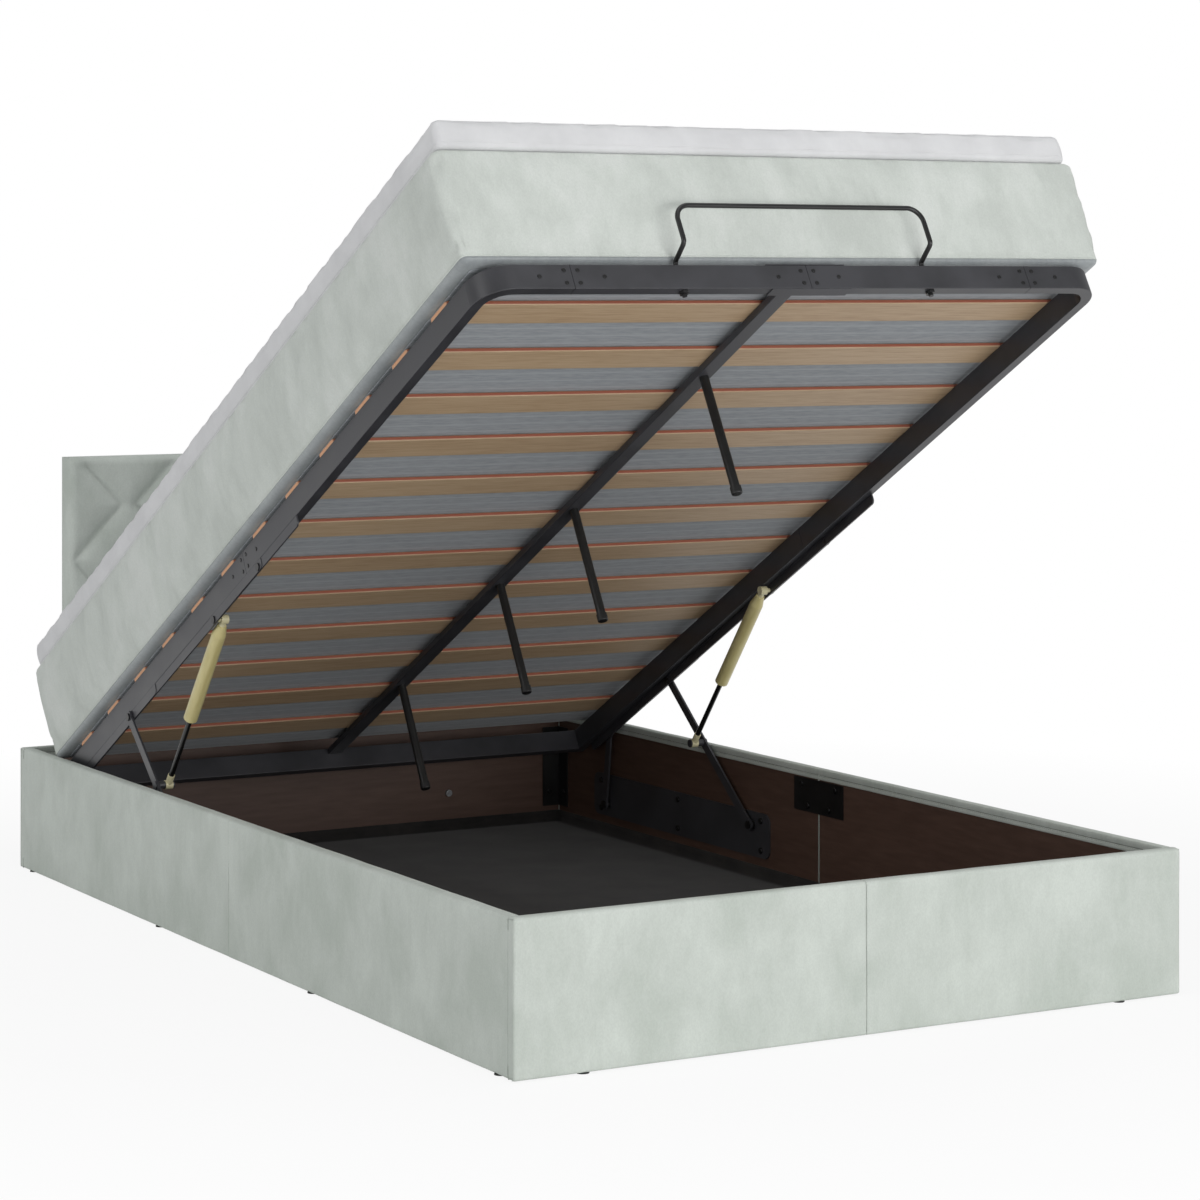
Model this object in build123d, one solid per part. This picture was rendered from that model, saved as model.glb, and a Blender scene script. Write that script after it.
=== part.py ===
from build123d import *
import math
import os

# An ottoman bed, drawn with its slatted bed base raised on its lift mechanism.
# X runs across the bed, Y from the foot to the head, Z up.
# Y is counted from the foot's outer face here, and moved to the middle when a piece is written.

# The mattress, which the whole bed is made to fit
mattress_length = 2005
mattress_width = 1224
mattress_thickness = 200

# The bed base frame, which the mattress lies on and stands over at its sides
mattress_side_overhang = 28
mattress_foot_gap = 3
mattress_head_gap = 28
rail_width = 20
rail_height = 42
rail_wall = 1.5
rail_edge_radius = 1.4
rail_joint_gap = 0.8
corner_radius = 58
corner_piece_reach = 154
sleeve_length = 150
sleeve_gap = 0.25
sleeve_wall = 2
beam_width = 30
beam_height = 12
splice_width = 148
splice_thickness = 1.5

# The box under it
panel_thickness = 20
panel_top = 240
board_thickness = 15
cover_thickness = 4
cover_top_wrap = 3
cover_end_wrap = 2
cover_fold_height = 20
panel_edge_radius = 7
panel_inner_edge_radius = 2.4
panel_end_radius = 3.5
panel_seam = 0.6
mechanism_gap = 14
lid_end_gap = 6
glide_height = 2
glide_radius = 11
glide_inset = 60
glides_along = 4
floor_cloth_thickness = 1.5
floor_cloth_lift = 0.5
floor_cloth_gap = 0.4

# How the bed base moves, with places counted from its head end
closed_height = 190
open_angle = 29.07
open_head_shift = -129.18
open_head_rise = -22.95
front_pivot_inset = 400
strut_pivot_inset = 846
rear_pivot_inset = 118
pivot_drop = 8
strut_pivot_drop = 9.5
front_link_length = 395
rear_link_length = 152
strut_pin_reach = 222

# Steel of the lift mechanism
plate_depth = 17
plate_thickness = 3
plate_set_back = 1
plate_start_inset = 1250
plate_end_inset = 46
front_patch_start_inset = 1084
front_patch_end_inset = 834
rear_patch_start_inset = 538
link_width = 18
link_thickness = 4
link_end_radius = 11
link_side_gap = 1
base_plate_thickness = 3.5
base_plate_margin = 60
base_plate_half_height = 26
base_plate_corner_radius = 18
pin_radius = 5
lid_pin_radius = 4
pin_head_radius = 8
pin_head_thickness = 2.5
shoulder_radius = 7
patch_head_thickness = 2
running_gap = 0.05
side_gap = 0.3

# The two gas struts
strut_radius = 13
strut_wall = 1.5
strut_inset = 20
strut_body_start = 14
strut_body_end = 246
strut_taper_length = 22
strut_taper_radius = 8.5
strut_gland_length = 10
rod_radius = 5
rod_reach = 238
piston_length = 14
rod_socket_depth = 10
fitting_thickness = 14
fitting_radius = 8.5
fitting_reach = 25
fitting_neck_radius = 6.5
open_pin_gap = 0.5

# Slats and legs
slat_count = 12
slat_first_place = 159
slat_last_inset = 161
slat_width = 63
slat_thickness = 8
slat_end_inset = 1
slat_edge_radius = 2.5
slat_corner_radius = 7
leg_place_shares = [0.177, 0.427, 0.585, 0.817]
leg_radius = 8
leg_foot_radius = 9.5
leg_foot_height = 14
leg_foot_edge_radius = 3
leg_floor_gap = 0.5

# The pull handle at the foot
handle_span = 466
handle_rod_radius = 4
handle_stand_off = 30
handle_height = 132
handle_step_height = 52
handle_step_rise = 14
handle_step_radius = 6
handle_knee_radius = 9
handle_corner_radius = 26
handle_hole_gap = 0.2
handle_nut_radius = 8
handle_nut_height = 5
handle_end_length = 9

# Mattress and topper
mattress_side_crown = 11
mattress_end_crown = 8
mattress_edge_radius = 13
mattress_corner_radius = 20
mattress_underside_thickness = 1.5
mattress_cover_thickness = 6
mattress_core_wall = 9
mattress_core_gap = 0.5
topper_thickness = 52
topper_side_inset = 12
topper_end_overlap = 0.5
topper_edge_radius = 8
topper_corner_radius = 14
topper_wall = 6
soft_gap = 0.3

# Headboard
headboard_side_inset = 108
headboard_top = 814
headboard_pad_bottom = 246
headboard_depth = 58
headboard_pad_front = 34
headboard_board_thickness = 18
headboard_board_bottom = 60
headboard_wrap = 8
headboard_edge_radius = 14
headboard_strut_width = 70
headboard_strut_inset = 180
headboard_strut_bottom = 20
headboard_strut_top = 236
headboard_bolt_heights = [80, 170]
headboard_bolt_radius = 4
headboard_nut_radius = 7
headboard_nut_height = 6
stitch_columns = 4
stitch_neck = 30
stitch_first_drop = 98
stitch_half_rise = 111
stitch_edge_margin = 16
stitch_width = 4
stitch_depth = 5

# Fasteners
bolt_radius = 3
bolt_head_radius = 6
bolt_head_height = 3
bolt_length = 13
bolt_head_edge_radius = 1
rivet_radius = 2
rivet_head_radius = 3.6
rivet_head_height = 1.2
rivet_row_reach = 57
rivet_pair_reach = 12
rivet_pair_rise = 11
joint_plate_length = 168
joint_plate_height = 64
joint_plate_thickness = 2
joint_plate_top_margin = 22
foot_joint_plate_top_margin = 56
joint_bolt_reach = 58
joint_bolt_pair = 36
joint_bolt_rise = 20
bracket_leg = 40
bracket_height = 170
bracket_bottom = 35
bracket_bolt_inset = 24
bracket_bolt_rise = 55

overrun = 5
touch = 0.01

# Sizes that follow from the ones above
frame_width = mattress_width - 2 * mattress_side_overhang
frame_length = mattress_length + mattress_foot_gap + mattress_head_gap
frame_joint_place = frame_length / 2
front_pivot_place = frame_length - front_pivot_inset
strut_pivot_place = frame_length - strut_pivot_inset
rear_pivot_place = frame_length - rear_pivot_inset
plate_start = frame_length - plate_start_inset
plate_end = frame_length - plate_end_inset
slat_pitch = (frame_length - slat_first_place - slat_last_inset) / (slat_count - 1)
leg_places = [share * frame_length for share in leg_place_shares]
topper_width = mattress_width - 2 * topper_side_inset
topper_length = mattress_length + 2 * topper_end_overlap
bed_width = frame_width + 2 * (mechanism_gap + panel_thickness)
base_length = frame_length + 2 * (lid_end_gap + panel_thickness)
overall_length = base_length + headboard_depth
inner_half_width = bed_width / 2 - panel_thickness
board_face = cover_thickness + board_thickness
board_half_width = bed_width / 2 - board_face
rail_outer = frame_width / 2
rail_inner = rail_outer - rail_width
plate_outer = rail_outer - plate_set_back
plate_inner = plate_outer - plate_thickness
link_inner = rail_outer + link_side_gap
link_outer = link_inner + link_thickness
base_plate_face = board_half_width - base_plate_thickness
strut_axis = rail_outer - strut_inset
slat_top = rail_height + slat_thickness
floor_cloth_top = floor_cloth_lift + floor_cloth_thickness
headboard_width = bed_width - 2 * headboard_side_inset
headboard_strut_place = headboard_width / 2 - headboard_strut_inset

closed_place = (panel_thickness + lid_end_gap, closed_height)
open_turn = math.radians(open_angle)
open_head_place = (closed_place[0] + frame_length + open_head_shift, closed_height + open_head_rise)
open_place = (
    open_head_place[0] - frame_length * math.cos(open_turn),
    open_head_place[1] + frame_length * math.sin(open_turn),
)


# Places in the side view, as (y, z)
def on_lid(place, along, up, angle=0):
    """A point of the bed base, given along it and square to it, at a lift angle."""
    turn = math.radians(angle)
    y = place[0] + along * math.cos(turn) + up * math.sin(turn)
    z = place[1] - along * math.sin(turn) + up * math.cos(turn)
    return (y, z)


def distance(a, b):
    return math.hypot(b[0] - a[0], b[1] - a[1])


def slope(a, b):
    """The direction from a to b in degrees, from +Y towards +Z."""
    return math.degrees(math.atan2(b[1] - a[1], b[0] - a[0]))


def fixed_pin(closed, opened, length):
    """Where a bar of this length must be pinned to reach both places of its upper pin."""
    half = distance(closed, opened) / 2
    reach = math.sqrt(length**2 - half**2)
    turn = math.radians(slope(closed, opened) + 90)
    y = (closed[0] + opened[0]) / 2 + reach * math.cos(turn)
    z = (closed[1] + opened[1]) / 2 + reach * math.sin(turn)
    return (y, z)


def part_way(a, b, reach):
    """The point at this distance from a towards b."""
    share = reach / distance(a, b)
    return (a[0] + share * (b[0] - a[0]), a[1] + share * (b[1] - a[1]))


front_top_closed = on_lid(closed_place, front_pivot_place, -pivot_drop)
front_top = on_lid(open_place, front_pivot_place, -pivot_drop, open_angle)
front_pin = fixed_pin(front_top_closed, front_top, front_link_length)
rear_top_closed = on_lid(closed_place, rear_pivot_place, -pivot_drop)
rear_top = on_lid(open_place, rear_pivot_place, -pivot_drop, open_angle)
rear_pin = fixed_pin(rear_top_closed, rear_top, rear_link_length)
strut_low = part_way(front_pin, front_top, strut_pin_reach)
strut_low_closed = part_way(front_pin, front_top_closed, strut_pin_reach)
strut_high = on_lid(open_place, strut_pivot_place, -strut_pivot_drop, open_angle)
strut_high_closed = on_lid(closed_place, strut_pivot_place, -strut_pivot_drop)

to_middle = Pos(0, -overall_length / 2, 0)
lid_position = Pos(0, open_place[0], open_place[1]) * Rot(-open_angle, 0, 0)


# Helpers
def block(low, high):
    """A box from its lowest to its highest corner."""
    size = [high[i] - low[i] for i in range(3)]
    middle = [(high[i] + low[i]) / 2 for i in range(3)]
    return Pos(*middle) * Box(*size)


def rod_along_x(radius, x_low, x_high, place):
    """A round bar across the bed, at a place (y, z)."""
    bar = Cylinder(radius, x_high - x_low)
    return Pos((x_low + x_high) / 2, place[0], place[1]) * Rot(0, 90, 0) * bar


def sided(side, x_from, x_to):
    """Two distances from the bed's middle as a low and high X on one side."""
    return (side * x_from, side * x_to) if side > 0 else (side * x_to, side * x_from)


def pin_across(side, radius, x_from, x_to, place):
    low, high = sided(side, x_from, x_to)
    return rod_along_x(radius, low, high, place)


def edges_at(shape, axis, x=None, y=None, z=None):
    """The straight edges along an axis that lie at the given places."""
    found = shape.edges().filter_by(axis)
    if x is not None:
        found = found.filter_by(lambda edge: abs(edge.center().X - x) < touch)
    if y is not None:
        found = found.filter_by(lambda edge: abs(edge.center().Y - y) < touch)
    if z is not None:
        found = found.filter_by(lambda edge: abs(edge.center().Z - z) < touch)
    return found


def bolt():
    """A button head bolt that points along +Z, with its head below zero."""
    head = Pos(0, 0, -bolt_head_height / 2) * Cylinder(bolt_head_radius, bolt_head_height)
    head = fillet(head.edges().filter_by(GeomType.CIRCLE).sort_by(Axis.Z)[0], bolt_head_edge_radius)
    shank = Pos(0, 0, bolt_length / 2) * Cylinder(bolt_radius, bolt_length)
    return head + shank


def bolt_hole():
    depth = bolt_length + bolt_head_height
    return Pos(0, 0, depth / 2 - bolt_head_height) * Cylinder(bolt_radius, depth)


def heading(x, y):
    """The turn that points +Z along X or Y."""
    return Rot(0, 90 * x, 0) * Rot(-90 * y, 0, 0)


# The box: boards and their padded covers
def panel(length):
    """A board and its cover, outer face at Y zero, running along +X from zero."""
    shape = block((0, 0, glide_height), (length, panel_thickness, panel_top))
    shape = fillet(edges_at(shape, Axis.Z, y=0), panel_end_radius)
    outer_top = shape.edges().filter_by(Axis.X).filter_by(lambda e: abs(e.center().Y) < touch)
    shape = fillet(outer_top.sort_by(Axis.Z)[-1], panel_edge_radius - panel_end_radius)
    shape = fillet(edges_at(shape, Axis.X, y=panel_thickness, z=panel_top), panel_inner_edge_radius)
    board_low = (cover_end_wrap, cover_thickness, glide_height + cover_top_wrap)
    board_high = (length - cover_end_wrap, board_face, panel_top - cover_top_wrap)
    board = block(board_low, board_high)
    bare_low = (-overrun, board_face, glide_height + cover_fold_height)
    bare_high = (length + overrun, panel_thickness + overrun, panel_top - cover_fold_height)
    cover = shape - board - block(bare_low, bare_high)
    return board, cover


def box_panels():
    """Each board and cover of the box, by its place."""
    foot_half = (bed_width - panel_seam) / 2
    side_start = panel_thickness + panel_seam
    side_end = base_length - panel_thickness - panel_seam
    side_half = (side_end - side_start - panel_seam) / 2
    foot_left = Pos(-bed_width / 2, 0, 0)
    foot_right = Pos(panel_seam / 2, 0, 0)
    head = Pos(bed_width / 2, base_length, 0) * Rot(0, 0, 180)
    left_turn = Rot(0, 0, -90)
    right_turn = Rot(0, 0, 90)
    rear_start = side_start + side_half + panel_seam
    spots = {
        "foot_left": (foot_half, foot_left),
        "foot_right": (foot_half, foot_right),
        "head": (bed_width, head),
        "left_front": (side_half, Pos(-bed_width / 2, side_start + side_half, 0) * left_turn),
        "left_rear": (side_half, Pos(-bed_width / 2, side_end, 0) * left_turn),
        "right_front": (side_half, Pos(bed_width / 2, side_start, 0) * right_turn),
        "right_rear": (side_half, Pos(bed_width / 2, rear_start, 0) * right_turn),
    }
    made = {}
    for name, (length, place) in spots.items():
        board, cover = panel(length)
        made[name] = (place * board, place * cover)
    return made


# Steel inside the box
joint_middle_height = panel_top - joint_plate_top_margin - joint_plate_height / 2
foot_joint_middle_height = panel_top - foot_joint_plate_top_margin - joint_plate_height / 2
side_joint_y = base_length / 2


def joint_plates():
    """The plates that join the halves of each side and of the foot, with their bolt places."""
    plates = []
    places = []
    length = joint_plate_length
    flat = Box(length, joint_plate_thickness, joint_plate_height)
    for side in (-1, 1):
        x = side * (board_half_width - joint_plate_thickness / 2)
        plates.append(Pos(x, side_joint_y, joint_middle_height) * Rot(0, 0, 90) * flat)
    y = board_face + joint_plate_thickness / 2
    plates.append(Pos(0, y, foot_joint_middle_height) * flat)
    for along in (-joint_bolt_reach, -joint_bolt_pair, joint_bolt_pair, joint_bolt_reach):
        rise = joint_bolt_rise if abs(along) == joint_bolt_reach else -joint_bolt_rise
        for side in (-1, 1):
            x = side * (board_half_width - joint_plate_thickness)
            places.append(Pos(x, side_joint_y + along, joint_middle_height + rise) * heading(side, 0))
        y = board_face + joint_plate_thickness
        places.append(Pos(along, y, foot_joint_middle_height + rise) * heading(0, -1))
    return plates, places


def corner_brackets():
    """The four angles inside the box's corners, with their bolt places."""
    brackets = []
    places = []
    thick = joint_plate_thickness
    rear_face = base_length - board_face
    middle_height = bracket_bottom + bracket_height / 2
    for side in (-1, 1):
        for front in (True, False):
            y_face = board_face + cover_fold_gap if front else rear_face - cover_fold_gap
            y_way = 1 if front else -1
            along_side = block((0, 0, 0), (thick, bracket_leg, bracket_height))
            along_end = block((0, 0, 0), (bracket_leg, thick, bracket_height))
            angle = along_side + along_end
            angle = fillet(angle.edges().filter_by(Axis.Z).sort_by_distance((0, 0, 0))[0], thick)
            if side > 0:
                angle = mirror(angle, Plane.YZ)
            if not front:
                angle = mirror(angle, Plane.XZ)
            x_face = side * board_half_width
            brackets.append(Pos(x_face, y_face, bracket_bottom) * angle)
            for rise in (-bracket_bolt_rise, bracket_bolt_rise):
                z = middle_height + rise
                x_bolt = x_face - side * bracket_bolt_inset
                y_bolt = y_face + y_way * bracket_bolt_inset
                places.append(Pos(x_bolt, y_face + y_way * thick, z) * heading(0, -y_way))
                places.append(Pos(x_face - side * thick, y_bolt, z) * heading(side, 0))
    return brackets, places


cover_fold_gap = panel_thickness - board_face + panel_seam


def base_plate(side):
    """The plate that carries both links on one side, with its bolt places."""
    start = front_pin[0] - base_plate_margin
    end = rear_pin[0] + base_plate_margin
    top = front_pin[1] + base_plate_half_height
    bottom = rear_pin[1] - base_plate_half_height
    low, high = sided(side, base_plate_face, board_half_width)
    plate = block((low, start, bottom), (high, end, top))
    plate = fillet(plate.edges().filter_by(Axis.X), base_plate_corner_radius)
    for place in (front_pin, rear_pin):
        plate -= pin_across(side, pin_radius, base_plate_face - overrun, board_half_width + overrun, place)
    places = []
    inset = base_plate_margin / 2
    middle = (start + end) / 2
    for y in (start + inset, middle, end - inset):
        for z in (bottom + inset / 2, top - inset / 2):
            places.append(Pos(side * base_plate_face, y, z) * heading(side, 0))
    return plate, places


def base_pin(side, place):
    """A shoulder pin riveted into the base plate, with a journal for a link."""
    root = board_half_width - touch
    pin = pin_across(side, pin_radius, link_inner - side_gap, root, place)
    pin += pin_across(side, pin_head_radius, link_outer + side_gap, base_plate_face, place)
    head_start = link_inner - side_gap - pin_head_thickness
    pin += pin_across(side, pin_head_radius, head_start, link_inner - side_gap, place)
    return pin


# The lift mechanism
def bar_between(side, a, b, hole_a, hole_b):
    """A flat bar with round ends from a to b in the link's plane, holed at both ends."""
    length = distance(a, b)
    bar = Pos(0, length / 2, 0) * Box(link_thickness, length, link_width)
    across = Rot(0, 90, 0)
    for reach, hole in ((0, hole_a), (length, hole_b)):
        bar += Pos(0, reach, 0) * across * Cylinder(link_end_radius, link_thickness)
        bar -= Pos(0, reach, 0) * across * Cylinder(hole, link_thickness + overrun)
    x = side * (link_inner + link_outer) / 2
    return Pos(x, a[0], a[1]) * Rot(slope(a, b), 0, 0) * bar


def front_link(side):
    """The long bar that carries the bed base, with the pin of the strut riveted through it."""
    link = bar_between(side, front_pin, front_top, pin_radius + running_gap, lid_pin_radius + running_gap)
    link -= pin_across(side, lid_pin_radius, link_inner - overrun, link_outer + overrun, strut_low)
    head_end = link_outer + pin_head_thickness
    pin = pin_across(side, pin_head_radius, link_outer, head_end, strut_low)
    pin += pin_across(side, lid_pin_radius, strut_axis - fitting_thickness / 2 - side_gap, link_outer, strut_low)
    pin += pin_across(side, shoulder_radius, strut_axis + fitting_thickness / 2 + side_gap, link_inner, strut_low)
    cap = strut_axis - fitting_thickness / 2 - side_gap
    pin += pin_across(side, pin_head_radius, cap - pin_head_thickness, cap, strut_low)
    return Compound([link.solid(), pin.solid()])


def rear_link(side):
    """The short bar near the head, with a rivet at its free upper end."""
    link = bar_between(side, rear_pin, rear_top, pin_radius + running_gap, lid_pin_radius)
    rivet = pin_across(side, lid_pin_radius, link_inner, link_outer, rear_top)
    rivet += pin_across(side, pin_head_radius, link_outer, link_outer + pin_head_thickness, rear_top)
    return Compound([link.solid(), rivet.solid()])


strut_turn = slope(strut_low, strut_high)
strut_length = distance(strut_low, strut_high)


def along_strut(side, shape):
    """Places a shape that points along +Z from the lower pin on one strut's line."""
    return Pos(side * strut_axis, strut_low[0], strut_low[1]) * Rot(strut_turn - 90, 0, 0) * shape


def strut_fitting(neck_way, reach):
    """An eye across X with a round neck along Z."""
    eye = Rot(0, 90, 0) * Cylinder(fitting_radius, fitting_thickness)
    neck = Pos(0, 0, neck_way * reach / 2) * Cylinder(fitting_neck_radius, reach)
    return eye + neck


def strut_lower_fitting(side):
    fitting = strut_fitting(1, fitting_reach)
    fitting -= Rot(0, 90, 0) * Cylinder(lid_pin_radius + running_gap, fitting_thickness + overrun)
    socket = Pos(0, 0, fitting_reach - rod_socket_depth / 2) * Cylinder(rod_radius, rod_socket_depth)
    return along_strut(side, fitting - socket)


def strut_rod(side):
    """The polished rod with its piston, drawn out of the cylinder."""
    start = fitting_reach - rod_socket_depth
    rod = Pos(0, 0, (start + rod_reach) / 2) * Cylinder(rod_radius, rod_reach - start)
    piston_radius = strut_radius - strut_wall - running_gap
    piston = Pos(0, 0, rod_reach - piston_length / 2) * Cylinder(piston_radius, piston_length)
    return along_strut(side, rod + piston)


def strut_cylinder(side):
    """The strut's pressure tube, closed at the top and with a gland round the rod."""
    top = strut_length - strut_body_start
    bottom = strut_length - strut_body_end
    shoulder = top - strut_taper_length
    body = Pos(0, 0, (shoulder + bottom) / 2) * Cylinder(strut_radius, shoulder - bottom)
    taper = Cone(strut_radius, strut_taper_radius, strut_taper_length)
    body += Pos(0, 0, (top + shoulder) / 2) * taper
    body = fillet(body.edges().filter_by(GeomType.CIRCLE).group_by(Axis.Z)[0], strut_wall)
    bore_low = bottom + strut_gland_length
    bore_high = shoulder
    bore = Pos(0, 0, (bore_low + bore_high) / 2) * Cylinder(strut_radius - strut_wall, bore_high - bore_low)
    gland = Pos(0, 0, bottom + strut_gland_length / 2) * Cylinder(
        rod_radius + running_gap, strut_gland_length + overrun
    )
    return along_strut(side, body - bore - gland)


def strut_top_eye(side):
    """The eye above the cylinder, with the stub pin that lines up with the lift plate."""
    eye = Pos(0, 0, strut_length) * strut_fitting(-1, strut_body_start)
    eye = along_strut(side, eye)
    return eye + pin_across(side, lid_pin_radius, strut_axis, plate_inner - open_pin_gap, strut_high)


# The bed base frame, drawn flat: X across, Y along it from its foot, Z square to it from its underside
def corner_band(inset, side):
    """The plan of the foot corner and the front half of one side rail, drawn in by an inset."""
    outer = rail_outer - inset
    inner = rail_inner + inset
    start = rail_outer - corner_piece_reach
    near = inset
    far = rail_width - inset
    bend = corner_radius
    big = bend - inset
    small = bend - rail_width + inset
    middle = (rail_outer - bend, bend)
    half_turn = math.cos(math.radians(45))
    outline = Polyline((start, far), (start, near), (middle[0], near))
    arc = ThreePointArc(
        (middle[0], near),
        (middle[0] + big * half_turn, middle[1] - big * half_turn),
        (outer, middle[1]),
    )
    outline += arc
    outline += Polyline((outer, middle[1]), (outer, frame_joint_place), (inner, frame_joint_place), (inner, middle[1]))
    back = ThreePointArc(
        (inner, middle[1]),
        (middle[0] + small * half_turn, middle[1] - small * half_turn),
        (middle[0], far),
    )
    outline += back
    outline += Line((middle[0], far), (start, far))
    face = make_face(outline)
    return mirror(face, Plane.YZ) if side < 0 else face


def corner_rail(side):
    """A bent rectangular tube: a stretch of the foot rail and half of one side rail."""
    solid = extrude(corner_band(0, side), rail_height, dir=(0, 0, 1))
    rims = solid.faces().sort_by(Axis.Z)
    start = side * (rail_outer - corner_piece_reach)
    long_edges = rims[0].edges() + rims[-1].edges()
    long_edges = long_edges.filter_by(lambda e: abs(e.center().X - start) > touch)
    long_edges = long_edges.filter_by(lambda e: abs(e.center().Y - frame_joint_place) > touch)
    solid = fillet(long_edges, rail_edge_radius)
    hollow = extrude(corner_band(rail_wall, side), rail_height - 2 * rail_wall, dir=(0, 0, 1))
    hollow = Pos(0, 0, rail_wall) * hollow
    start = rail_outer - corner_piece_reach
    low, high = sided(side, start - overrun, start + overrun)
    open_front = block((low, rail_wall, rail_wall), (high, rail_width - rail_wall, rail_height - rail_wall))
    low, high = sided(side, rail_inner + rail_wall, rail_outer - rail_wall)
    open_rear = block(
        (low, frame_joint_place - overrun, rail_wall),
        (high, frame_joint_place + overrun, rail_height - rail_wall),
    )
    return solid - hollow - open_front - open_rear


def straight_tube(low, high, axis):
    """A rectangular tube between two corners, open at its two ends along an axis."""
    hollow_low = list(low)
    hollow_high = list(high)
    for i in range(3):
        ends = i == axis
        hollow_low[i] += -overrun if ends else rail_wall
        hollow_high[i] -= -overrun if ends else rail_wall
    along = (Axis.X, Axis.Y, Axis.Z)[axis]
    outside = block(low, high)
    return fillet(outside.edges().filter_by(along), rail_edge_radius) - block(hollow_low, hollow_high)


def frame_rails():
    rails = {}
    reach = rail_outer - corner_piece_reach - rail_joint_gap
    for name, side in (("left", -1), ("right", 1)):
        rails["corner_rail_" + name] = corner_rail(side)
        low, high = sided(side, rail_joint_gap / 2, reach)
        rails["foot_rail_" + name] = straight_tube((low, 0, 0), (high, rail_width, rail_height), 0)
        low, high = sided(side, rail_inner, rail_outer)
        corner_low = (low, frame_joint_place + rail_joint_gap, 0)
        corner_high = (high, frame_length, rail_height)
        rails["rear_side_rail_" + name] = straight_tube(corner_low, corner_high, 1)
    head_low = (-rail_inner, frame_length - rail_width, 0)
    rails["head_rail"] = straight_tube(head_low, (rail_inner, frame_length, rail_height), 0)
    return rails


joint_spots = [
    (-(rail_outer - corner_piece_reach), 0),
    (0, 0),
    (rail_outer - corner_piece_reach, 0),
    (-rail_outer, frame_joint_place),
    (rail_outer, frame_joint_place),
]


def rail_sleeves():
    """The tubes inside the rails that hold each joint of the frame."""
    inset = rail_wall + sleeve_gap
    sleeves = []
    for x, y in joint_spots:
        if y == 0:
            low = (x - sleeve_length / 2, inset, inset)
            high = (x + sleeve_length / 2, rail_width - inset, rail_height - inset)
            ends = 0
        else:
            side = 1 if x > 0 else -1
            x_low, x_high = sided(side, rail_inner + inset, rail_outer - inset)
            low = (x_low, y - sleeve_length / 2, inset)
            high = (x_high, y + sleeve_length / 2, rail_height - inset)
            ends = 1
        hollow_low = [low[i] + (-overrun if i == ends else sleeve_wall) for i in range(3)]
        hollow_high = [high[i] - (-overrun if i == ends else sleeve_wall) for i in range(3)]
        sleeves.append(block(low, high) - block(hollow_low, hollow_high))
    return sleeves


def rivet_spots():
    """Where each rivet's head sits on a rail's outer face, and the way that it points in."""
    pattern = [(-rivet_row_reach, 0), (rivet_row_reach, 0)]
    for along in (-rivet_pair_reach, rivet_pair_reach):
        for rise in (-rivet_pair_rise, rivet_pair_rise):
            pattern.append((along, rise))
    spots = []
    for x, y in joint_spots:
        for along, rise in pattern:
            z = rail_height / 2 + rise
            if y == 0:
                spots.append(Pos(x + along, 0, z) * heading(0, 1))
            else:
                side = 1 if x > 0 else -1
                spots.append(Pos(x, y + along, z) * heading(-side, 0))
    return spots


def rivet():
    length = rail_wall + sleeve_gap + sleeve_wall
    head = Pos(0, 0, -rivet_head_height / 2) * Cylinder(rivet_head_radius, rivet_head_height)
    head = fillet(head.edges().filter_by(GeomType.CIRCLE).sort_by(Axis.Z)[0], rivet_head_height * 0.8)
    return head + Pos(0, 0, length / 2) * Cylinder(rivet_radius, length)


def rivet_hole():
    length = 2 * (rail_wall + sleeve_gap + sleeve_wall)
    return Cylinder(rivet_radius, length)


def strip(side, x_from, x_to, start, end):
    """A flat strip hanging under a side rail, with its two lower corners rounded."""
    low, high = sided(side, x_from, x_to)
    plate = block((low, start, -plate_depth), (high, end, 0))
    return fillet(edges_at(plate, Axis.X, z=-plate_depth), plate_depth / 2)


def lift_plate(side):
    """The strip welded under a side rail, which carries the upper pivots, with its two patches."""
    plate = strip(side, plate_inner, plate_outer, plate_start, plate_end)
    front_start = frame_length - front_patch_start_inset
    front_end = frame_length - front_patch_end_inset
    rear_start = frame_length - rear_patch_start_inset
    plate += strip(side, plate_outer, rail_outer, front_start, front_end)
    plate += strip(side, plate_outer, rail_outer, rear_start, plate_end - plate_depth)
    for place in lid_rivet_places:
        plate -= pin_across(side, lid_pin_radius, plate_inner - overrun, rail_outer + overrun, place)
    return plate


lid_rivet_places = [
    (front_pivot_place, -pivot_drop),
    (strut_pivot_place, -strut_pivot_drop),
    (frame_length - front_patch_start_inset + plate_depth, -strut_pivot_drop),
]


def patch_rivet(side, place):
    """A rivet flush inside the lift plate with a low head outside."""
    rivet = pin_across(side, lid_pin_radius, plate_inner, rail_outer, place)
    return rivet + pin_across(side, shoulder_radius, rail_outer, rail_outer + patch_head_thickness, place)


def lid_pin(side):
    """The rivet that joins the lift plate and the front link."""
    place = (front_pivot_place, -pivot_drop)
    pin = pin_across(side, lid_pin_radius, plate_inner, link_outer + side_gap, place)
    inner_head = plate_inner - pin_head_thickness
    pin += pin_across(side, shoulder_radius, inner_head, plate_inner, place)
    pin += pin_across(side, shoulder_radius, rail_outer, link_inner - side_gap, place)
    outer_head = link_outer + side_gap
    pin += pin_across(side, shoulder_radius, outer_head, outer_head + pin_head_thickness, place)
    return pin


def centre_beam():
    low = (-beam_width / 2, rail_width + splice_thickness, rail_height - beam_height)
    high = (beam_width / 2, frame_length - rail_width, rail_height)
    return straight_tube(low, high, 1)


def splice_channel():
    """A channel behind the foot rail's joint, with its flanges over and under the rail."""
    half = splice_width / 2
    low = (-half, 0, -splice_thickness)
    high = (half, rail_width + splice_thickness, rail_height + splice_thickness)
    inside = block((-half - overrun, -overrun, 0), (half + overrun, rail_width, rail_height))
    return block(low, high) - inside


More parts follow.
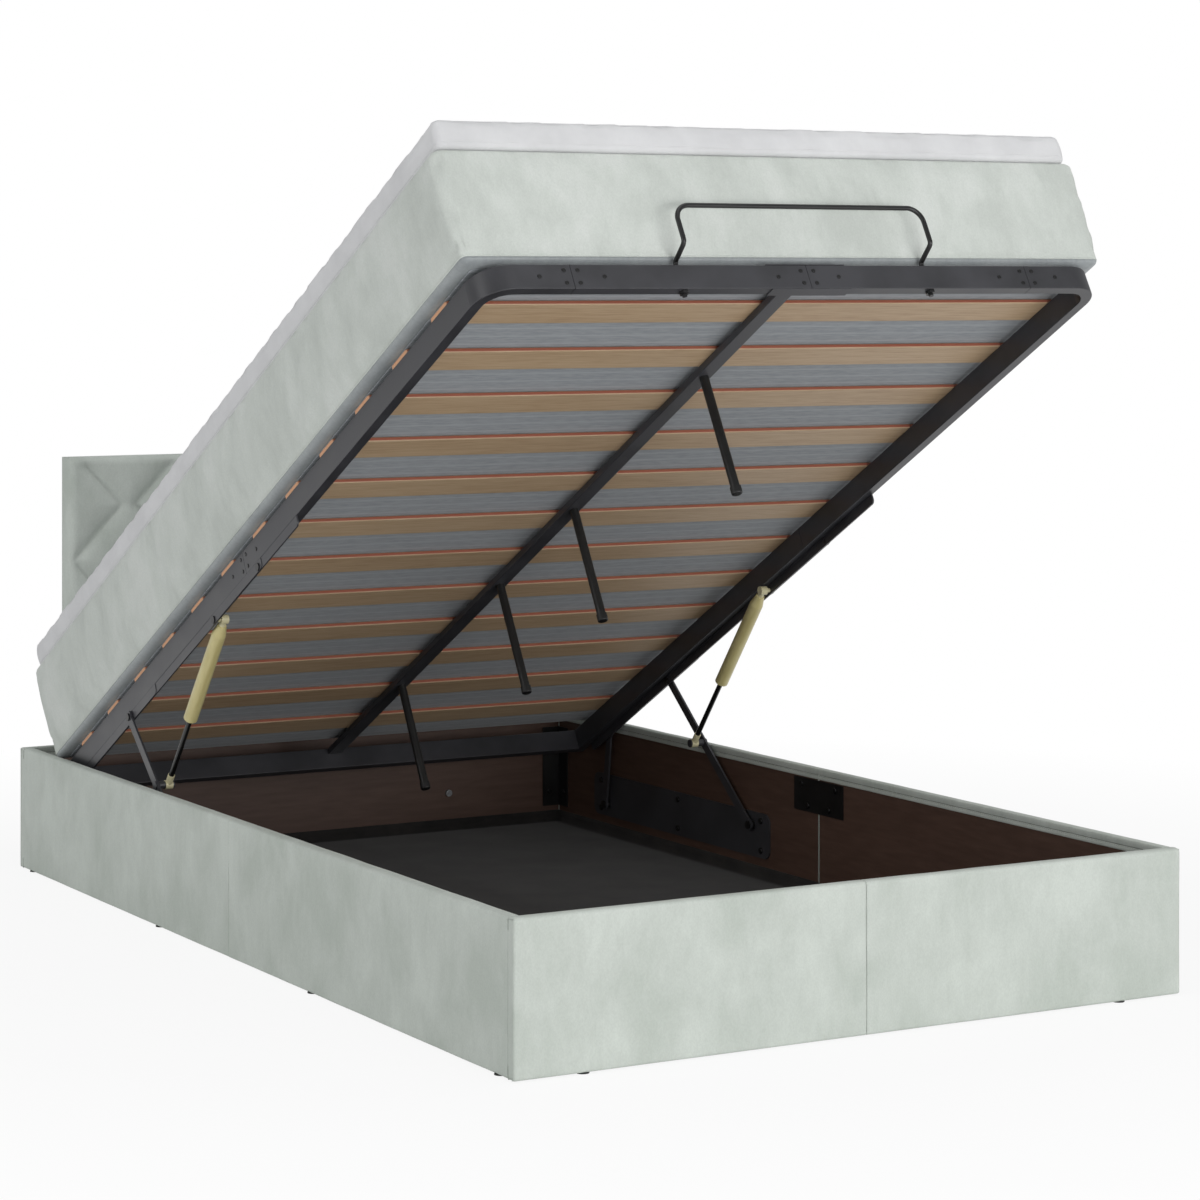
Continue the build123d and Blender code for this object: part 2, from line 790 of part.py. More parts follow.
def slats():
    """Flat sprung slats laid across the rails."""
    made = []
    half = rail_outer - slat_end_inset
    for i in range(slat_count):
        y = slat_first_place + i * slat_pitch
        low = (-half, y - slat_width / 2, rail_height)
        slat = block(low, (half, y + slat_width / 2, slat_top))
        slat = fillet(slat.edges().filter_by(Axis.Z), slat_corner_radius)
        made.append(fillet(slat.edges().filter_by(Axis.X), slat_edge_radius))
    return made


leg_tip = -(closed_height - floor_cloth_top - leg_floor_gap)
leg_top = rail_height - beam_height


def legs():
    """The straight legs under the beam, which stand on the floor when the bed is shut."""
    bottom = leg_tip + leg_foot_height / 2
    tubes = []
    for y in leg_places:
        tubes.append(Pos(0, y, (leg_top + bottom) / 2) * Cylinder(leg_radius, leg_top - bottom))
    return tubes


def leg_feet():
    """A round plastic cap on the end of each leg."""
    feet = []
    bottom = leg_tip + leg_foot_height / 2
    for y in leg_places:
        foot = Pos(0, y, leg_tip + leg_foot_height / 2) * Cylinder(leg_foot_radius, leg_foot_height)
        foot = fillet(foot.edges().filter_by(GeomType.CIRCLE).sort_by(Axis.Z)[0], leg_foot_edge_radius)
        socket = Pos(0, y, bottom + leg_foot_height / 2) * Cylinder(leg_radius, leg_foot_height)
        feet.append(foot - socket)
    return feet


def handle_line():
    x = handle_span / 2
    y_in = rail_width / 2
    y_out = -handle_stand_off
    step_end = handle_step_height + handle_step_rise
    left = [
        (-x, y_in, -handle_end_length),
        (-x, y_in, handle_step_height),
        (-x, y_out, step_end),
        (-x, y_out, handle_height),
    ]
    right = [(-point[0], point[1], point[2]) for point in reversed(left)]
    radii = [handle_step_radius, handle_knee_radius, handle_corner_radius]
    return FilletPolyline(*(left + right), radius=radii + radii[::-1])


def handle():
    """A bent rod through the foot rail, held by a nut under it on each side."""
    line = handle_line()
    start = line @ 0
    rod = sweep(Plane(start, x_dir=(1, 0, 0), z_dir=(0, 0, 1)) * Circle(handle_rod_radius), path=line)
    nuts = []
    for side in (-1, 1):
        x = side * handle_span / 2
        nut = extrude(RegularPolygon(handle_nut_radius, 6), handle_nut_height, dir=(0, 0, -1))
        nut -= Cylinder(handle_rod_radius, handle_nut_height * 3)
        nuts.append(Pos(x, rail_width / 2, 0) * nut)
    return [rod] + nuts


def handle_hole(side):
    x = side * handle_span / 2
    hole = Cylinder(handle_rod_radius + handle_hole_gap, rail_height + overrun)
    return Pos(x, rail_width / 2, rail_height / 2) * hole


# Mattress and topper, in the frame's own place
edge_rise_shares = [0, 0.1, 0.3, 0.6, 1]
edge_inset_shares = [1, 0.564, 0.286, 0.083, 0]
swell_shares = [0.05, 0.13, 0.28, 0.5, 0.72, 0.87, 0.95]


def slab_section(z, height, inset, middle_y):
    """The mattress's plan at one height, drawn in towards its lower edge and at both rounded edges."""
    swell = (1 - z / height) ** 2
    width = mattress_width - 2 * (inset + mattress_side_crown * swell)
    length = mattress_length - 2 * (inset + mattress_end_crown * swell)
    return Plane((0, middle_y, z)) * RectangleRounded(width, length, mattress_corner_radius)


def swollen_slab(bottom, height, middle_y):
    """A soft slab whose sides swell between rounded edges."""
    edge = mattress_edge_radius
    rounding = list(zip(edge_rise_shares, edge_inset_shares))
    levels = [(edge * rise, edge * inset) for rise, inset in rounding]
    levels += [(edge + (height - 2 * edge) * share, 0) for share in swell_shares]
    levels += [(height - edge * rise, edge * inset) for rise, inset in reversed(rounding)]
    sections = [slab_section(z, height, inset, middle_y) for z, inset in levels]
    return Pos(0, 0, bottom) * loft(sections)


def mattress():
    """Cover, core and underside cloth of the mattress."""
    start = mattress_foot_gap
    bottom = slat_top + mattress_underside_thickness
    height = mattress_thickness - mattress_underside_thickness
    shape = swollen_slab(bottom, height, start + mattress_length / 2)
    inset = mattress_edge_radius + mattress_cover_thickness
    half = mattress_width / 2 - mattress_side_crown - inset
    y_low = start + mattress_end_crown + inset
    y_high = start + mattress_length - mattress_end_crown - inset
    cavity_low = (-half, y_low, bottom + mattress_cover_thickness)
    cavity_high = (half, y_high, bottom + height - mattress_cover_thickness)
    cover = shape - block(cavity_low, cavity_high)
    gap = mattress_core_gap
    core_low = [value + gap for value in cavity_low]
    core_high = [value - gap for value in cavity_high]
    wall = mattress_core_wall
    void_low = [value + wall for value in core_low]
    void_high = [value - wall for value in core_high]
    core = block(core_low, core_high) - block(void_low, void_high)
    sheet_half = mattress_width / 2 - mattress_side_crown - mattress_edge_radius
    sheet_length = mattress_length - 2 * (mattress_end_crown + mattress_edge_radius)
    sheet = RectangleRounded(2 * sheet_half, sheet_length, mattress_corner_radius)
    underside = extrude(sheet, mattress_underside_thickness)
    underside = Pos(0, start + mattress_length / 2, slat_top) * underside
    return cover, core, underside


def topper():
    """A separate slab on the mattress, squarer than it and hollow for its foam's light weight."""
    bottom = slat_top + mattress_thickness + soft_gap
    height = topper_thickness - soft_gap
    start = mattress_foot_gap - topper_end_overlap
    plan = RectangleRounded(topper_width, topper_length, topper_corner_radius)
    shape = Pos(0, start + topper_length / 2, bottom) * extrude(plan, height)
    shape = fillet(shape.faces().sort_by(Axis.Z)[-1].edges(), topper_edge_radius)
    shape = fillet(shape.faces().sort_by(Axis.Z)[0].edges(), topper_edge_radius)
    inset = topper_edge_radius + topper_wall
    half = topper_width / 2 - inset
    low = (-half, start + inset, bottom + topper_wall)
    return shape - block(low, (half, start + topper_length - inset, bottom + height - topper_wall))


# Headboard
def stitch_line(neck_x, way):
    """One zigzag row of stitching down the pad, from a neck out to a wide place and back."""
    swing = (headboard_width / stitch_columns - stitch_neck) / 2 - stitch_edge_margin / 2
    rise = stitch_half_rise
    z = headboard_top - stitch_first_drop
    x = neck_x + way * stitch_neck / 2
    first_rise = stitch_first_drop - stitch_edge_margin
    points = [(x + way * swing * first_rise / rise, z + first_rise), (x, z)]
    wide = True
    while z - rise > headboard_pad_bottom + stitch_edge_margin:
        z -= rise
        points.append((x + way * swing if wide else x, z))
        wide = not wide
    return points


def stitch_channels():
    """Shallow channels along every row of stitching."""
    column = headboard_width / stitch_columns
    channels = []
    for i in range(stitch_columns):
        neck_x = -headboard_width / 2 + (i + 1 / 2) * column
        for way in (-1, 1):
            points = stitch_line(neck_x, way)
            for a, b in zip(points, points[1:]):
                length = math.hypot(b[0] - a[0], b[1] - a[1])
                turn = math.degrees(math.atan2(b[1] - a[1], b[0] - a[0]))
                strip = Box(length + stitch_width, stitch_depth * 2, stitch_width)
                middle = Pos((a[0] + b[0]) / 2, base_length + soft_gap, (a[1] + b[1]) / 2)
                channels.append(middle * Rot(0, -turn, 0) * strip)
    return channels


headboard_back = base_length + headboard_depth
board_front = base_length + headboard_pad_front


def headboard_board():
    half = headboard_width / 2 - headboard_wrap
    top = headboard_top - headboard_wrap
    low = (-half, board_front, headboard_board_bottom)
    return block(low, (half, board_front + headboard_board_thickness, top))


def headboard_pad(board):
    """Foam and cover in one, round the front, top and sides of the board."""
    half = headboard_width / 2
    low = (-half, base_length + soft_gap, headboard_pad_bottom)
    pad = block(low, (half, headboard_back, headboard_top))
    soft_edges = pad.edges().filter_by(lambda e: e.center().Z > headboard_pad_bottom + touch)
    front = soft_edges.filter_by(lambda e: abs(e.center().Y - low[1]) < touch)
    back_corners = soft_edges.filter_by(Axis.Y)
    pad = fillet(front + back_corners, headboard_edge_radius)
    back_low = (-half + headboard_wrap, board_front, headboard_pad_bottom - overrun)
    back_high = (half - headboard_wrap, headboard_back + overrun, headboard_top - headboard_wrap)
    pad -= block(back_low, back_high)
    for channel in stitch_channels():
        pad -= channel
    return pad


def headboard_struts():
    made = []
    for side in (-1, 1):
        x = side * headboard_strut_place
        low = (x - headboard_strut_width / 2, base_length, headboard_strut_bottom)
        made.append(block(low, (x + headboard_strut_width / 2, board_front, headboard_strut_top)))
    return made


def headboard_bolt(x, z, hole=False):
    """A bolt from behind the headboard to a nut inside the box, or the hole that it needs."""
    back = board_front + headboard_board_thickness
    inside = base_length - board_face
    length = back - inside + headboard_nut_height
    shank = Pos(x, back - length / 2, z) * Rot(90, 0, 0) * Cylinder(headboard_bolt_radius, length)
    if hole:
        return shank
    head = Pos(x, back + headboard_nut_height / 2, z) * Rot(90, 0, 0) * Cylinder(
        headboard_nut_radius, headboard_nut_height
    )
    nut = Pos(x, inside - headboard_nut_height / 2, z) * Rot(90, 0, 0) * Cylinder(
        headboard_nut_radius, headboard_nut_height
    )
    return shank + head + nut


# Feet and floor cloth of the box
def floor_glides():
    made = []
    edge = panel_thickness / 2
    disc = Pos(0, 0, glide_height / 2) * Cylinder(min(glide_radius, edge - touch), glide_height)
    step = (base_length - 2 * glide_inset) / (glides_along - 1)
    for side in (-1, 1):
        for i in range(glides_along):
            made.append(Pos(side * (bed_width / 2 - edge), glide_inset + i * step, 0) * disc)
        x = side * (bed_width / 2 - 2 * glide_inset)
        made.append(Pos(x, edge, 0) * disc)
        made.append(Pos(x, base_length - edge, 0) * disc)
    return made


def floor_cloth():
    half = inner_half_width - floor_cloth_gap
    y_low = panel_thickness + floor_cloth_gap
    low = (-half, y_low, floor_cloth_lift)
    return block(low, (half, base_length - y_low, floor_cloth_top))


# Put together
def build_box():
    made = {}
    plates, bolt_places = joint_plates()
    brackets, bracket_places = corner_brackets()
    bolt_places = bolt_places + bracket_places
    base_plates = {}
    for name, side in (("left", -1), ("right", 1)):
        base_plates[name], places = base_plate(side)
        bolt_places = bolt_places + places
    holes = [place * bolt_hole() for place in bolt_places]
    rear_holes = []
    for side in (-1, 1):
        for z in headboard_bolt_heights:
            rear_holes.append(headboard_bolt(side * headboard_strut_place, z, hole=True))
    pins = [base_pin(side, place) for side in (-1, 1) for place in (front_pin, rear_pin)]
    for name, (board, cover) in box_panels().items():
        if name == "head":
            holes_here = holes + rear_holes
        else:
            holes_here = holes
        made[name + "_board"] = cut_all(board, holes_here + pins)
        made[name + "_cover"] = cut_all(cover, rear_holes if name == "head" else [])
    made["panel_joint_plates"] = Compound([cut_all(plate, holes).solid() for plate in plates])
    made["corner_brackets"] = Compound([cut_all(item, holes).solid() for item in brackets])
    for name, plate in base_plates.items():
        made["base_plate_" + name] = cut_all(plate, holes)
    made["panel_bolts"] = Compound([(place * bolt()).solid() for place in bolt_places])
    made["base_pivot_pins"] = Compound([pin.solid() for pin in pins])
    made["floor_glides"] = Compound([item.solid() for item in floor_glides()])
    made["storage_floor_cloth"] = floor_cloth()
    board = headboard_board()
    made["headboard_board"] = cut_all(board, rear_holes)
    made["headboard_pad"] = headboard_pad(board)
    made["headboard_struts"] = Compound([cut_all(item, rear_holes).solid() for item in headboard_struts()])
    bolts = []
    for side in (-1, 1):
        for z in headboard_bolt_heights:
            bolts.append(headboard_bolt(side * headboard_strut_place, z).solid())
    made["headboard_bolts"] = Compound(bolts)
    return made


def cut_all(shape, cutters):
    """Cuts away only what reaches the shape's own box."""
    box = shape.bounding_box()
    for cutter in cutters:
        other = cutter.bounding_box()
        apart = (
            other.min.X > box.max.X
            or other.max.X < box.min.X
            or other.min.Y > box.max.Y
            or other.max.Y < box.min.Y
            or other.min.Z > box.max.Z
            or other.max.Z < box.min.Z
        )
        if not apart:
            shape = shape - cutter
    return shape


def build_mechanism():
    made = {}
    for name, side in (("left", -1), ("right", 1)):
        made["front_link_" + name] = front_link(side)
        made["rear_link_" + name] = rear_link(side)
        made["strut_lower_fitting_" + name] = strut_lower_fitting(side)
        made["strut_rod_" + name] = strut_rod(side)
        made["strut_cylinder_" + name] = strut_cylinder(side)
        made["strut_top_eye_" + name] = strut_top_eye(side)
    return made


def build_lid():
    """Everything that rides on the raised bed base."""
    made = {}
    spots = rivet_spots()
    holes = [spot * rivet_hole() for spot in spots]
    rods = [handle_hole(-1), handle_hole(1)]
    for name, rail in frame_rails().items():
        made[name] = cut_all(rail, holes + rods)
    made["rail_sleeves"] = Compound([cut_all(item, holes).solid() for item in rail_sleeves()])
    made["rail_rivets"] = Compound([(spot * rivet()).solid() for spot in spots])
    made["foot_splice_plate"] = splice_channel()
    made["centre_beam"] = centre_beam()
    for name, side in (("left", -1), ("right", 1)):
        made["lift_plate_" + name] = lift_plate(side)
    pins = [lid_pin(side) for side in (-1, 1)]
    pins += [patch_rivet(side, place) for side in (-1, 1) for place in lid_rivet_places[1:]]
    made["lid_pivot_pins"] = Compound([pin.solid() for pin in pins])
    made["slats"] = Compound([slat.solid() for slat in slats()])
    made["support_legs"] = Compound([item.solid() for item in legs()])
    made["leg_feet"] = Compound([item.solid() for item in leg_feet()])
    made["handle"] = Compound([item.solid() for item in handle()])
    cover, core, underside = mattress()
    made["mattress_cover"] = cover
    made["mattress_core"] = core
    made["mattress_underside"] = underside
    made["topper"] = topper()
    return {name: lid_position * shape for name, shape in made.items()}


def say_joints():
    """Prints the joints' places and travel, which the record repeats."""
    shift = overall_length / 2

    def spot(place):
        return (round((place[0] - shift) / 1000, 6), round(place[1] / 1000, 6))

    front_travel = slope(front_pin, front_top) - slope(front_pin, front_top_closed)
    rear_travel = slope(rear_pin, rear_top) - slope(rear_pin, rear_top_closed)
    strut_closed_turn = slope(strut_low_closed, strut_high_closed) % 360
    strut_travel = strut_turn % 360 - strut_closed_turn
    stroke = strut_length - distance(strut_low_closed, strut_high_closed)
    print("front link pin", spot(front_pin), "travel", round(front_travel, 4))
    print("lid pin", spot(front_top), "lid travel", open_angle)
    print("rear link pin", spot(rear_pin), "travel", round(rear_travel, 4))
    print("strut low", spot(strut_low), "high", spot(strut_high), "turn", round(strut_turn, 4))
    print("strut travel", round(strut_travel, 4), "stroke", round(stroke, 4))
    print("strut closed length", round(strut_length - stroke, 2), "open", round(strut_length, 2))
    print("lid at rest", spot(open_place))
    print("overall length", overall_length)


os.makedirs("parts", exist_ok=True)
pieces = {}
pieces.update(build_box())
pieces.update(build_mechanism())
pieces.update(build_lid())
for name, shape in pieces.items():
    export_step(to_middle * shape, "parts/" + name + ".step")
say_joints()
print(len(pieces), "nodes")
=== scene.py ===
import math

import bmesh
import bpy
from mathutils import Matrix, Vector, noise


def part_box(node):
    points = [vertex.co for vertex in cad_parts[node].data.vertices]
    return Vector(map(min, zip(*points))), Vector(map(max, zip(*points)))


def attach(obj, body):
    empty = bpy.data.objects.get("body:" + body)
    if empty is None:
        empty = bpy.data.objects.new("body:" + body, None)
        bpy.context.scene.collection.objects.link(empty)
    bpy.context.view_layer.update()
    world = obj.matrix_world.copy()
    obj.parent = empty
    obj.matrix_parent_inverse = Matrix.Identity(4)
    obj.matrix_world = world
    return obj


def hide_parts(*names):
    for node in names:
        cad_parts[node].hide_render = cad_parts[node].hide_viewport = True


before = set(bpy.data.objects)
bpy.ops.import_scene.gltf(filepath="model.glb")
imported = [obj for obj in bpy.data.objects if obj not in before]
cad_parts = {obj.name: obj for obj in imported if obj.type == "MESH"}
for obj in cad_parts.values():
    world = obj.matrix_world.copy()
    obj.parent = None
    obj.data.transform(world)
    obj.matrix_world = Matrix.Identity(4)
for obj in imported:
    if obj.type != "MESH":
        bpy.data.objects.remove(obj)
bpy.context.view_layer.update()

# An ottoman bed with its slatted base raised. Metres, X across the bed, Y from foot to head, Z up.

# Sizes shared with the solids
panel_thickness = 0.020
board_reach = 0.019
panel_bottom = 0.002
panel_top = 0.240
slat_top = 0.050
cover_fold = 0.020
mattress_half = 0.612
mattress_length = 2.005
mattress_start = 0.003
mattress_bottom = 0.0515
mattress_top = 0.250
mattress_crown = 0.010
mattress_corner = 0.020
seam_height = 0.064
topper_half = 0.600
topper_length = 2.006
topper_start = 0.0025
topper_corner = 0.014
topper_bottom = 0.2503
topper_top = 0.302
headboard_half = 0.510
headboard_top = 0.814
headboard_pad_bottom = 0.246
headboard_front = 1.0153

# The raised base: its foot end's lower edge, and how far it leans
lid_angle = math.radians(29.07)
lid_foot = Vector((0, -0.9197, 1.1563))
lid_matrix = Matrix.Translation(lid_foot) @ Matrix.Rotation(-lid_angle, 4, "X")


# Helpers for colour and materials
def hex_colour(text):
    """An sRGB hex colour as linear RGBA."""
    channels = [int(text[i : i + 2], 16) / 255 for i in (1, 3, 5)]
    linear = [c / 12.92 if c <= 0.04045 else ((c + 0.055) / 1.055) ** 2.4 for c in channels]
    return (*linear, 1)


def add(tree, kind, links=None, out=0, stops=(), **settings):
    """Adds a shader node, sets or links its inputs, and returns one of its outputs."""
    made = tree.nodes.new("ShaderNode" + kind)
    for key, value in settings.items():
        setattr(made, key, value)
    for key, value in (links or {}).items():
        socket = made.inputs[key]
        if isinstance(value, bpy.types.NodeSocket):
            tree.links.new(value, socket)
        else:
            socket.default_value = value
    for i, (place, colour) in enumerate(stops):
        band = made.color_ramp.elements
        stop = band[i] if i < len(band) else band.new(place)
        stop.position = place
        stop.color = hex_colour(colour)
    return made if out is None else made.outputs[out]


def new_material(name):
    """An empty node material, with its tree."""
    material = bpy.data.materials.new(name)
    material.use_nodes = True
    material.node_tree.nodes.clear()
    return material, material.node_tree


def stretched(tree, scale, turn=0.0, offset=(0, 0, 0)):
    """The object's own coordinates, turned about X and then stretched."""
    place = add(tree, "TexCoord", out="Object")
    place = add(tree, "Mapping", {"Vector": place, "Rotation": (turn, 0, 0)})
    return add(tree, "Mapping", {"Vector": place, "Scale": scale, "Location": offset})


def finished(material, links):
    """Ends a material's tree with one principled shader, and returns the material."""
    tree = material.node_tree
    shader = add(tree, "BsdfPrincipled", links)
    add(tree, "OutputMaterial", {"Surface": shader}, out=None)
    return material


# Materials
def brushed_velvet(name, dark, middle, light, turn=0.0, offset=(0, 0, 0)):
    """Woven velvet with a short pile that hands have brushed.

    The pile lies in patches, so faint clouds and upright strokes of lighter and darker
    sage cross it, and the edges catch a pale sheen.
    """
    material, tree = new_material(name)
    # patches about 110 mm across, a little taller than wide
    place = stretched(tree, (1, 1, 0.75), turn, offset)
    patches = add(tree, "TexNoise", {"Vector": place, "Scale": 9, "Detail": 6, "Distortion": 0.4})
    # brush strokes about 14 mm wide and 40 mm tall
    place = stretched(tree, (1, 1, 0.35), turn, offset)
    strokes = add(tree, "TexNoise", {"Vector": place, "Scale": 70, "Detail": 4, "Distortion": 0.4})
    # pile tufts of 1.2 mm, drawn at 2.5 mm so that they show
    place = stretched(tree, (1, 1, 0.7), turn)
    pile = add(tree, "TexNoise", {"Vector": place, "Scale": 400, "Detail": 1})
    broad = add(tree, "Math", {0: patches, 1: 0.8}, operation="MULTIPLY")
    blend = add(tree, "Math", {0: strokes, 1: 0.2, 2: broad}, operation="MULTIPLY_ADD")
    stops = ((0.36, dark), (0.5, middle), (0.64, light))
    colour = add(tree, "ValToRGB", {"Fac": blend}, stops=stops)
    speck = {"Value": pile, "From Min": 0.3, "From Max": 0.7, "To Min": 0.96, "To Max": 1.03}
    speck = add(tree, "MapRange", speck)
    colour = add(tree, "VectorMath", {0: colour, "Scale": speck}, operation="SCALE")
    height = add(tree, "Math", {0: strokes, 1: 0.5, 2: pile}, operation="MULTIPLY_ADD")
    bump = add(tree, "Bump", {"Height": height, "Strength": 0.25, "Distance": 0.0008})
    links = {
        "Base Color": colour,
        "Roughness": 0.86,
        "IOR": 1.45,
        "Specular IOR Level": 0.25,
        "Sheen Weight": 0.2,
        "Sheen Roughness": 0.45,
        "Sheen Tint": hex_colour("#E6EBE4"),
        "Normal": bump,
    }
    return finished(material, links)


def powder_coat(name, dark, light, rough=0.42, grit=420):
    """Powder coat baked on steel: even, a little pebbled, with soft highlights."""
    material, tree = new_material(name)
    place = stretched(tree, (1, 1, 1))
    # pebbles of about 2 mm, and slow change along the tube where hands have polished it
    pebbles = add(tree, "TexNoise", {"Vector": place, "Scale": grit, "Detail": 2})
    slow = add(tree, "TexNoise", {"Vector": place, "Scale": 9, "Detail": 3, "Roughness": 0.6})
    colour = add(tree, "ValToRGB", {"Fac": slow}, stops=((0.35, dark), (0.65, light)))
    polish = {"Value": slow, "From Min": 0.3, "From Max": 0.7}
    polish |= {"To Min": rough - 0.06, "To Max": rough + 0.06}
    bump = add(tree, "Bump", {"Height": pebbles, "Strength": 0.12, "Distance": 0.0004})
    polish = add(tree, "MapRange", polish)
    links = {"Base Color": colour, "Roughness": polish, "IOR": 1.5, "Normal": bump}
    return finished(material, links)


def plated_steel(name, dark, light, rough):
    """Zinc plated steel: grey metal with fine turning marks and a dull lustre."""
    material, tree = new_material(name)
    grain = add(tree, "TexNoise", {"Vector": stretched(tree, (1, 6, 1)), "Scale": 260, "Detail": 2})
    colour = add(tree, "ValToRGB", {"Fac": grain}, stops=((0.3, dark), (0.7, light)))
    lustre = {"Value": grain, "From Min": 0.3, "From Max": 0.7}
    lustre |= {"To Min": rough - 0.06, "To Max": rough + 0.08}
    bump = add(tree, "Bump", {"Height": grain, "Strength": 0.08, "Distance": 0.0003})
    lustre = add(tree, "MapRange", lustre)
    links = {"Base Color": colour, "Metallic": 1.0, "Roughness": lustre, "Normal": bump}
    return finished(material, links)


def beech_ply(name):
    """Lacquered beech plywood slats: fine grain along the slat and redder layered edges."""
    material, tree = new_material(name)
    # grain runs across the bed in fibres about 1.5 mm wide
    place = stretched(tree, (0.035, 1, 1), lid_angle)
    grain = add(tree, "TexNoise", {"Vector": place, "Scale": 420, "Detail": 4, "Roughness": 0.65})
    # each slat's own tone, which changes every 160 mm along the base
    place = stretched(tree, (0.15, 1, 1), lid_angle)
    board = add(tree, "TexNoise", {"Vector": place, "Scale": 6.3, "Detail": 2})
    tone = add(tree, "Math", {0: board, 1: 0.4, 2: -0.2}, operation="MULTIPLY_ADD")
    tone = add(tree, "Math", {0: grain, 1: tone}, operation="ADD")
    stops = ((0.25, "#A08568"), (0.5, "#B59B7C"), (0.8, "#C4AD90"))
    face = add(tree, "ValToRGB", {"Fac": tone}, stops=stops)
    # plies about 1.3 mm thick show on the edges and ends
    place = stretched(tree, (1, 1, 1), lid_angle)
    waves = {"Vector": place, "Scale": 245, "Distortion": 0.4}
    plies = add(tree, "TexWave", waves, bands_direction="Z")
    edge = add(tree, "ValToRGB", {"Fac": plies}, stops=((0.2, "#8A4A38"), (0.7, "#A8644C")))
    end = add(tree, "ValToRGB", {"Fac": plies}, stops=((0.2, "#D2966F"), (0.7, "#E6B48C")))
    # the normal in the lid's own frame tells face, edge and end apart
    normal = add(tree, "TexCoord", out="Normal")
    turned = {"Vector": normal, "Rotation": (lid_angle, 0, 0)}
    normal = add(tree, "Mapping", turned, vector_type="NORMAL")
    normal = add(tree, "VectorMath", {0: normal}, operation="ABSOLUTE")
    up = add(tree, "SeparateXYZ", {0: normal}, out=2)
    across = add(tree, "SeparateXYZ", {0: normal}, out=0)
    is_edge = add(tree, "MapRange", {"Value": up, "From Min": 0.6, "From Max": 0.3})
    is_end = add(tree, "MapRange", {"Value": across, "From Min": 0.6, "From Max": 0.8})
    colour = add(tree, "Mix", {0: is_edge, 6: face, 7: edge}, out=2, data_type="RGBA")
    colour = add(tree, "Mix", {0: is_end, 6: colour, 7: end}, out=2, data_type="RGBA")
    bump = add(tree, "Bump", {"Height": grain, "Strength": 0.15, "Distance": 0.0004})
    links = {"Base Color": colour, "Roughness": 0.48, "IOR": 1.5, "Normal": bump}
    return finished(material, links)


def board_face(name, dark, light, rough, stretch, scale):
    """A board's surface: a printed or felted figure under a dull film, drawn at its own scale."""
    material, tree = new_material(name)
    place = stretched(tree, stretch)
    figure = add(tree, "TexNoise", {"Vector": place, "Scale": scale, "Detail": 4})
    place = stretched(tree, stretch)
    slow = add(tree, "TexNoise", {"Vector": place, "Scale": 5, "Detail": 2})
    blend = add(tree, "Mix", {0: 0.45, 2: figure, 3: slow}, data_type="FLOAT")
    colour = add(tree, "ValToRGB", {"Fac": blend}, stops=((0.35, dark), (0.65, light)))
    bump = add(tree, "Bump", {"Height": figure, "Strength": 0.1, "Distance": 0.0003})
    links = {"Base Color": colour, "Roughness": rough, "IOR": 1.5, "Normal": bump}
    return finished(material, links)


def striped_felt(name, dark, light, line):
    """The mattress's underside: grey felt with faint pressed lines every 26 mm across the bed."""
    material, tree = new_material(name)
    place = stretched(tree, (1, 1, 1), lid_angle)
    waves = {"Vector": place, "Scale": 12.1, "Distortion": 0.25, "Detail Scale": 2.0}
    lines = add(tree, "TexWave", waves, bands_direction="Y", wave_profile="SAW")
    place = stretched(tree, (0.15, 1, 1), lid_angle)
    fibres = add(tree, "TexNoise", {"Vector": place, "Scale": 260, "Detail": 3, "Roughness": 0.6})
    base = add(tree, "ValToRGB", {"Fac": fibres}, stops=((0.3, dark), (0.7, light)))
    share = {"Value": lines, "From Min": 0.75, "From Max": 1.0, "To Max": 0.35}
    share = add(tree, "MapRange", share)
    colour = add(tree, "Mix", {0: share, 6: base, 7: hex_colour(line)}, out=2, data_type="RGBA")
    height = add(tree, "Math", {0: fibres, 1: 0.3, 2: lines}, operation="MULTIPLY_ADD")
    bump = add(tree, "Bump", {"Height": height, "Strength": 0.15, "Distance": 0.0006})
    links = {"Base Color": colour, "Roughness": 0.75, "IOR": 1.45, "Normal": bump}
    links["Sheen Weight"] = 0.15
    return finished(material, links)


def satin_band(name, dark, light):
    """The grey satin strip sewn under the mattress's border: smooth, with a soft upright sheen
    painted into its colour as lighter streaks, and painted shade in its folds.
    """
    material, tree = new_material(name)
    # upright streaks: the threads' relief in the bump, and painted sheen in the colour
    place = stretched(tree, (1, 1, 0.2), lid_angle)
    threads_and_painted_sheen = add(tree, "TexNoise", {"Vector": place, "Scale": 190, "Detail": 2})
    # broad patches: the folds' relief in the bump, and painted shade in their hollows in the colour
    place = stretched(tree, (1, 1, 1), lid_angle)
    folds = add(tree, "TexNoise", {"Vector": place, "Scale": 16, "Detail": 2})
    blend = add(tree, "Mix", {0: 0.6, 2: threads_and_painted_sheen, 3: folds}, data_type="FLOAT")
    # painted light: the colour is lighter where the cloth stands up and darker in its hollows
    colour = add(tree, "ValToRGB", {"Fac": blend}, stops=((0.35, dark), (0.65, light)))
    bump = add(tree, "Bump", {"Height": blend, "Strength": 0.2, "Distance": 0.0008})
    links = {"Base Color": colour, "Roughness": 0.42, "IOR": 1.46, "Normal": bump}
    links["Sheen Weight"] = 0.2
    return finished(material, links)


def looped_cloth(name, dark, light, scale, rough, depth, turn=0.0):
    """A matt cloth whose loops or bond dots stand in a close, nearly regular grid."""
    material, tree = new_material(name)
    place = stretched(tree, (1, 1, 1), turn)
    grid = {"Vector": place, "Scale": scale, "Randomness": 0.3}
    loops = add(tree, "TexVoronoi", grid, out="Distance")
    soft = add(tree, "TexNoise", {"Vector": place, "Scale": 12, "Detail": 4, "Roughness": 0.6})
    colour = add(tree, "ValToRGB", {"Fac": soft}, stops=((0.35, dark), (0.65, light)))
    bump = add(tree, "Bump", {"Height": loops, "Strength": 0.2, "Distance": depth})
    links = {"Base Color": colour, "Roughness": rough, "IOR": 1.45, "Normal": bump}
    links["Sheen Weight"] = 0.12
    return finished(material, links)


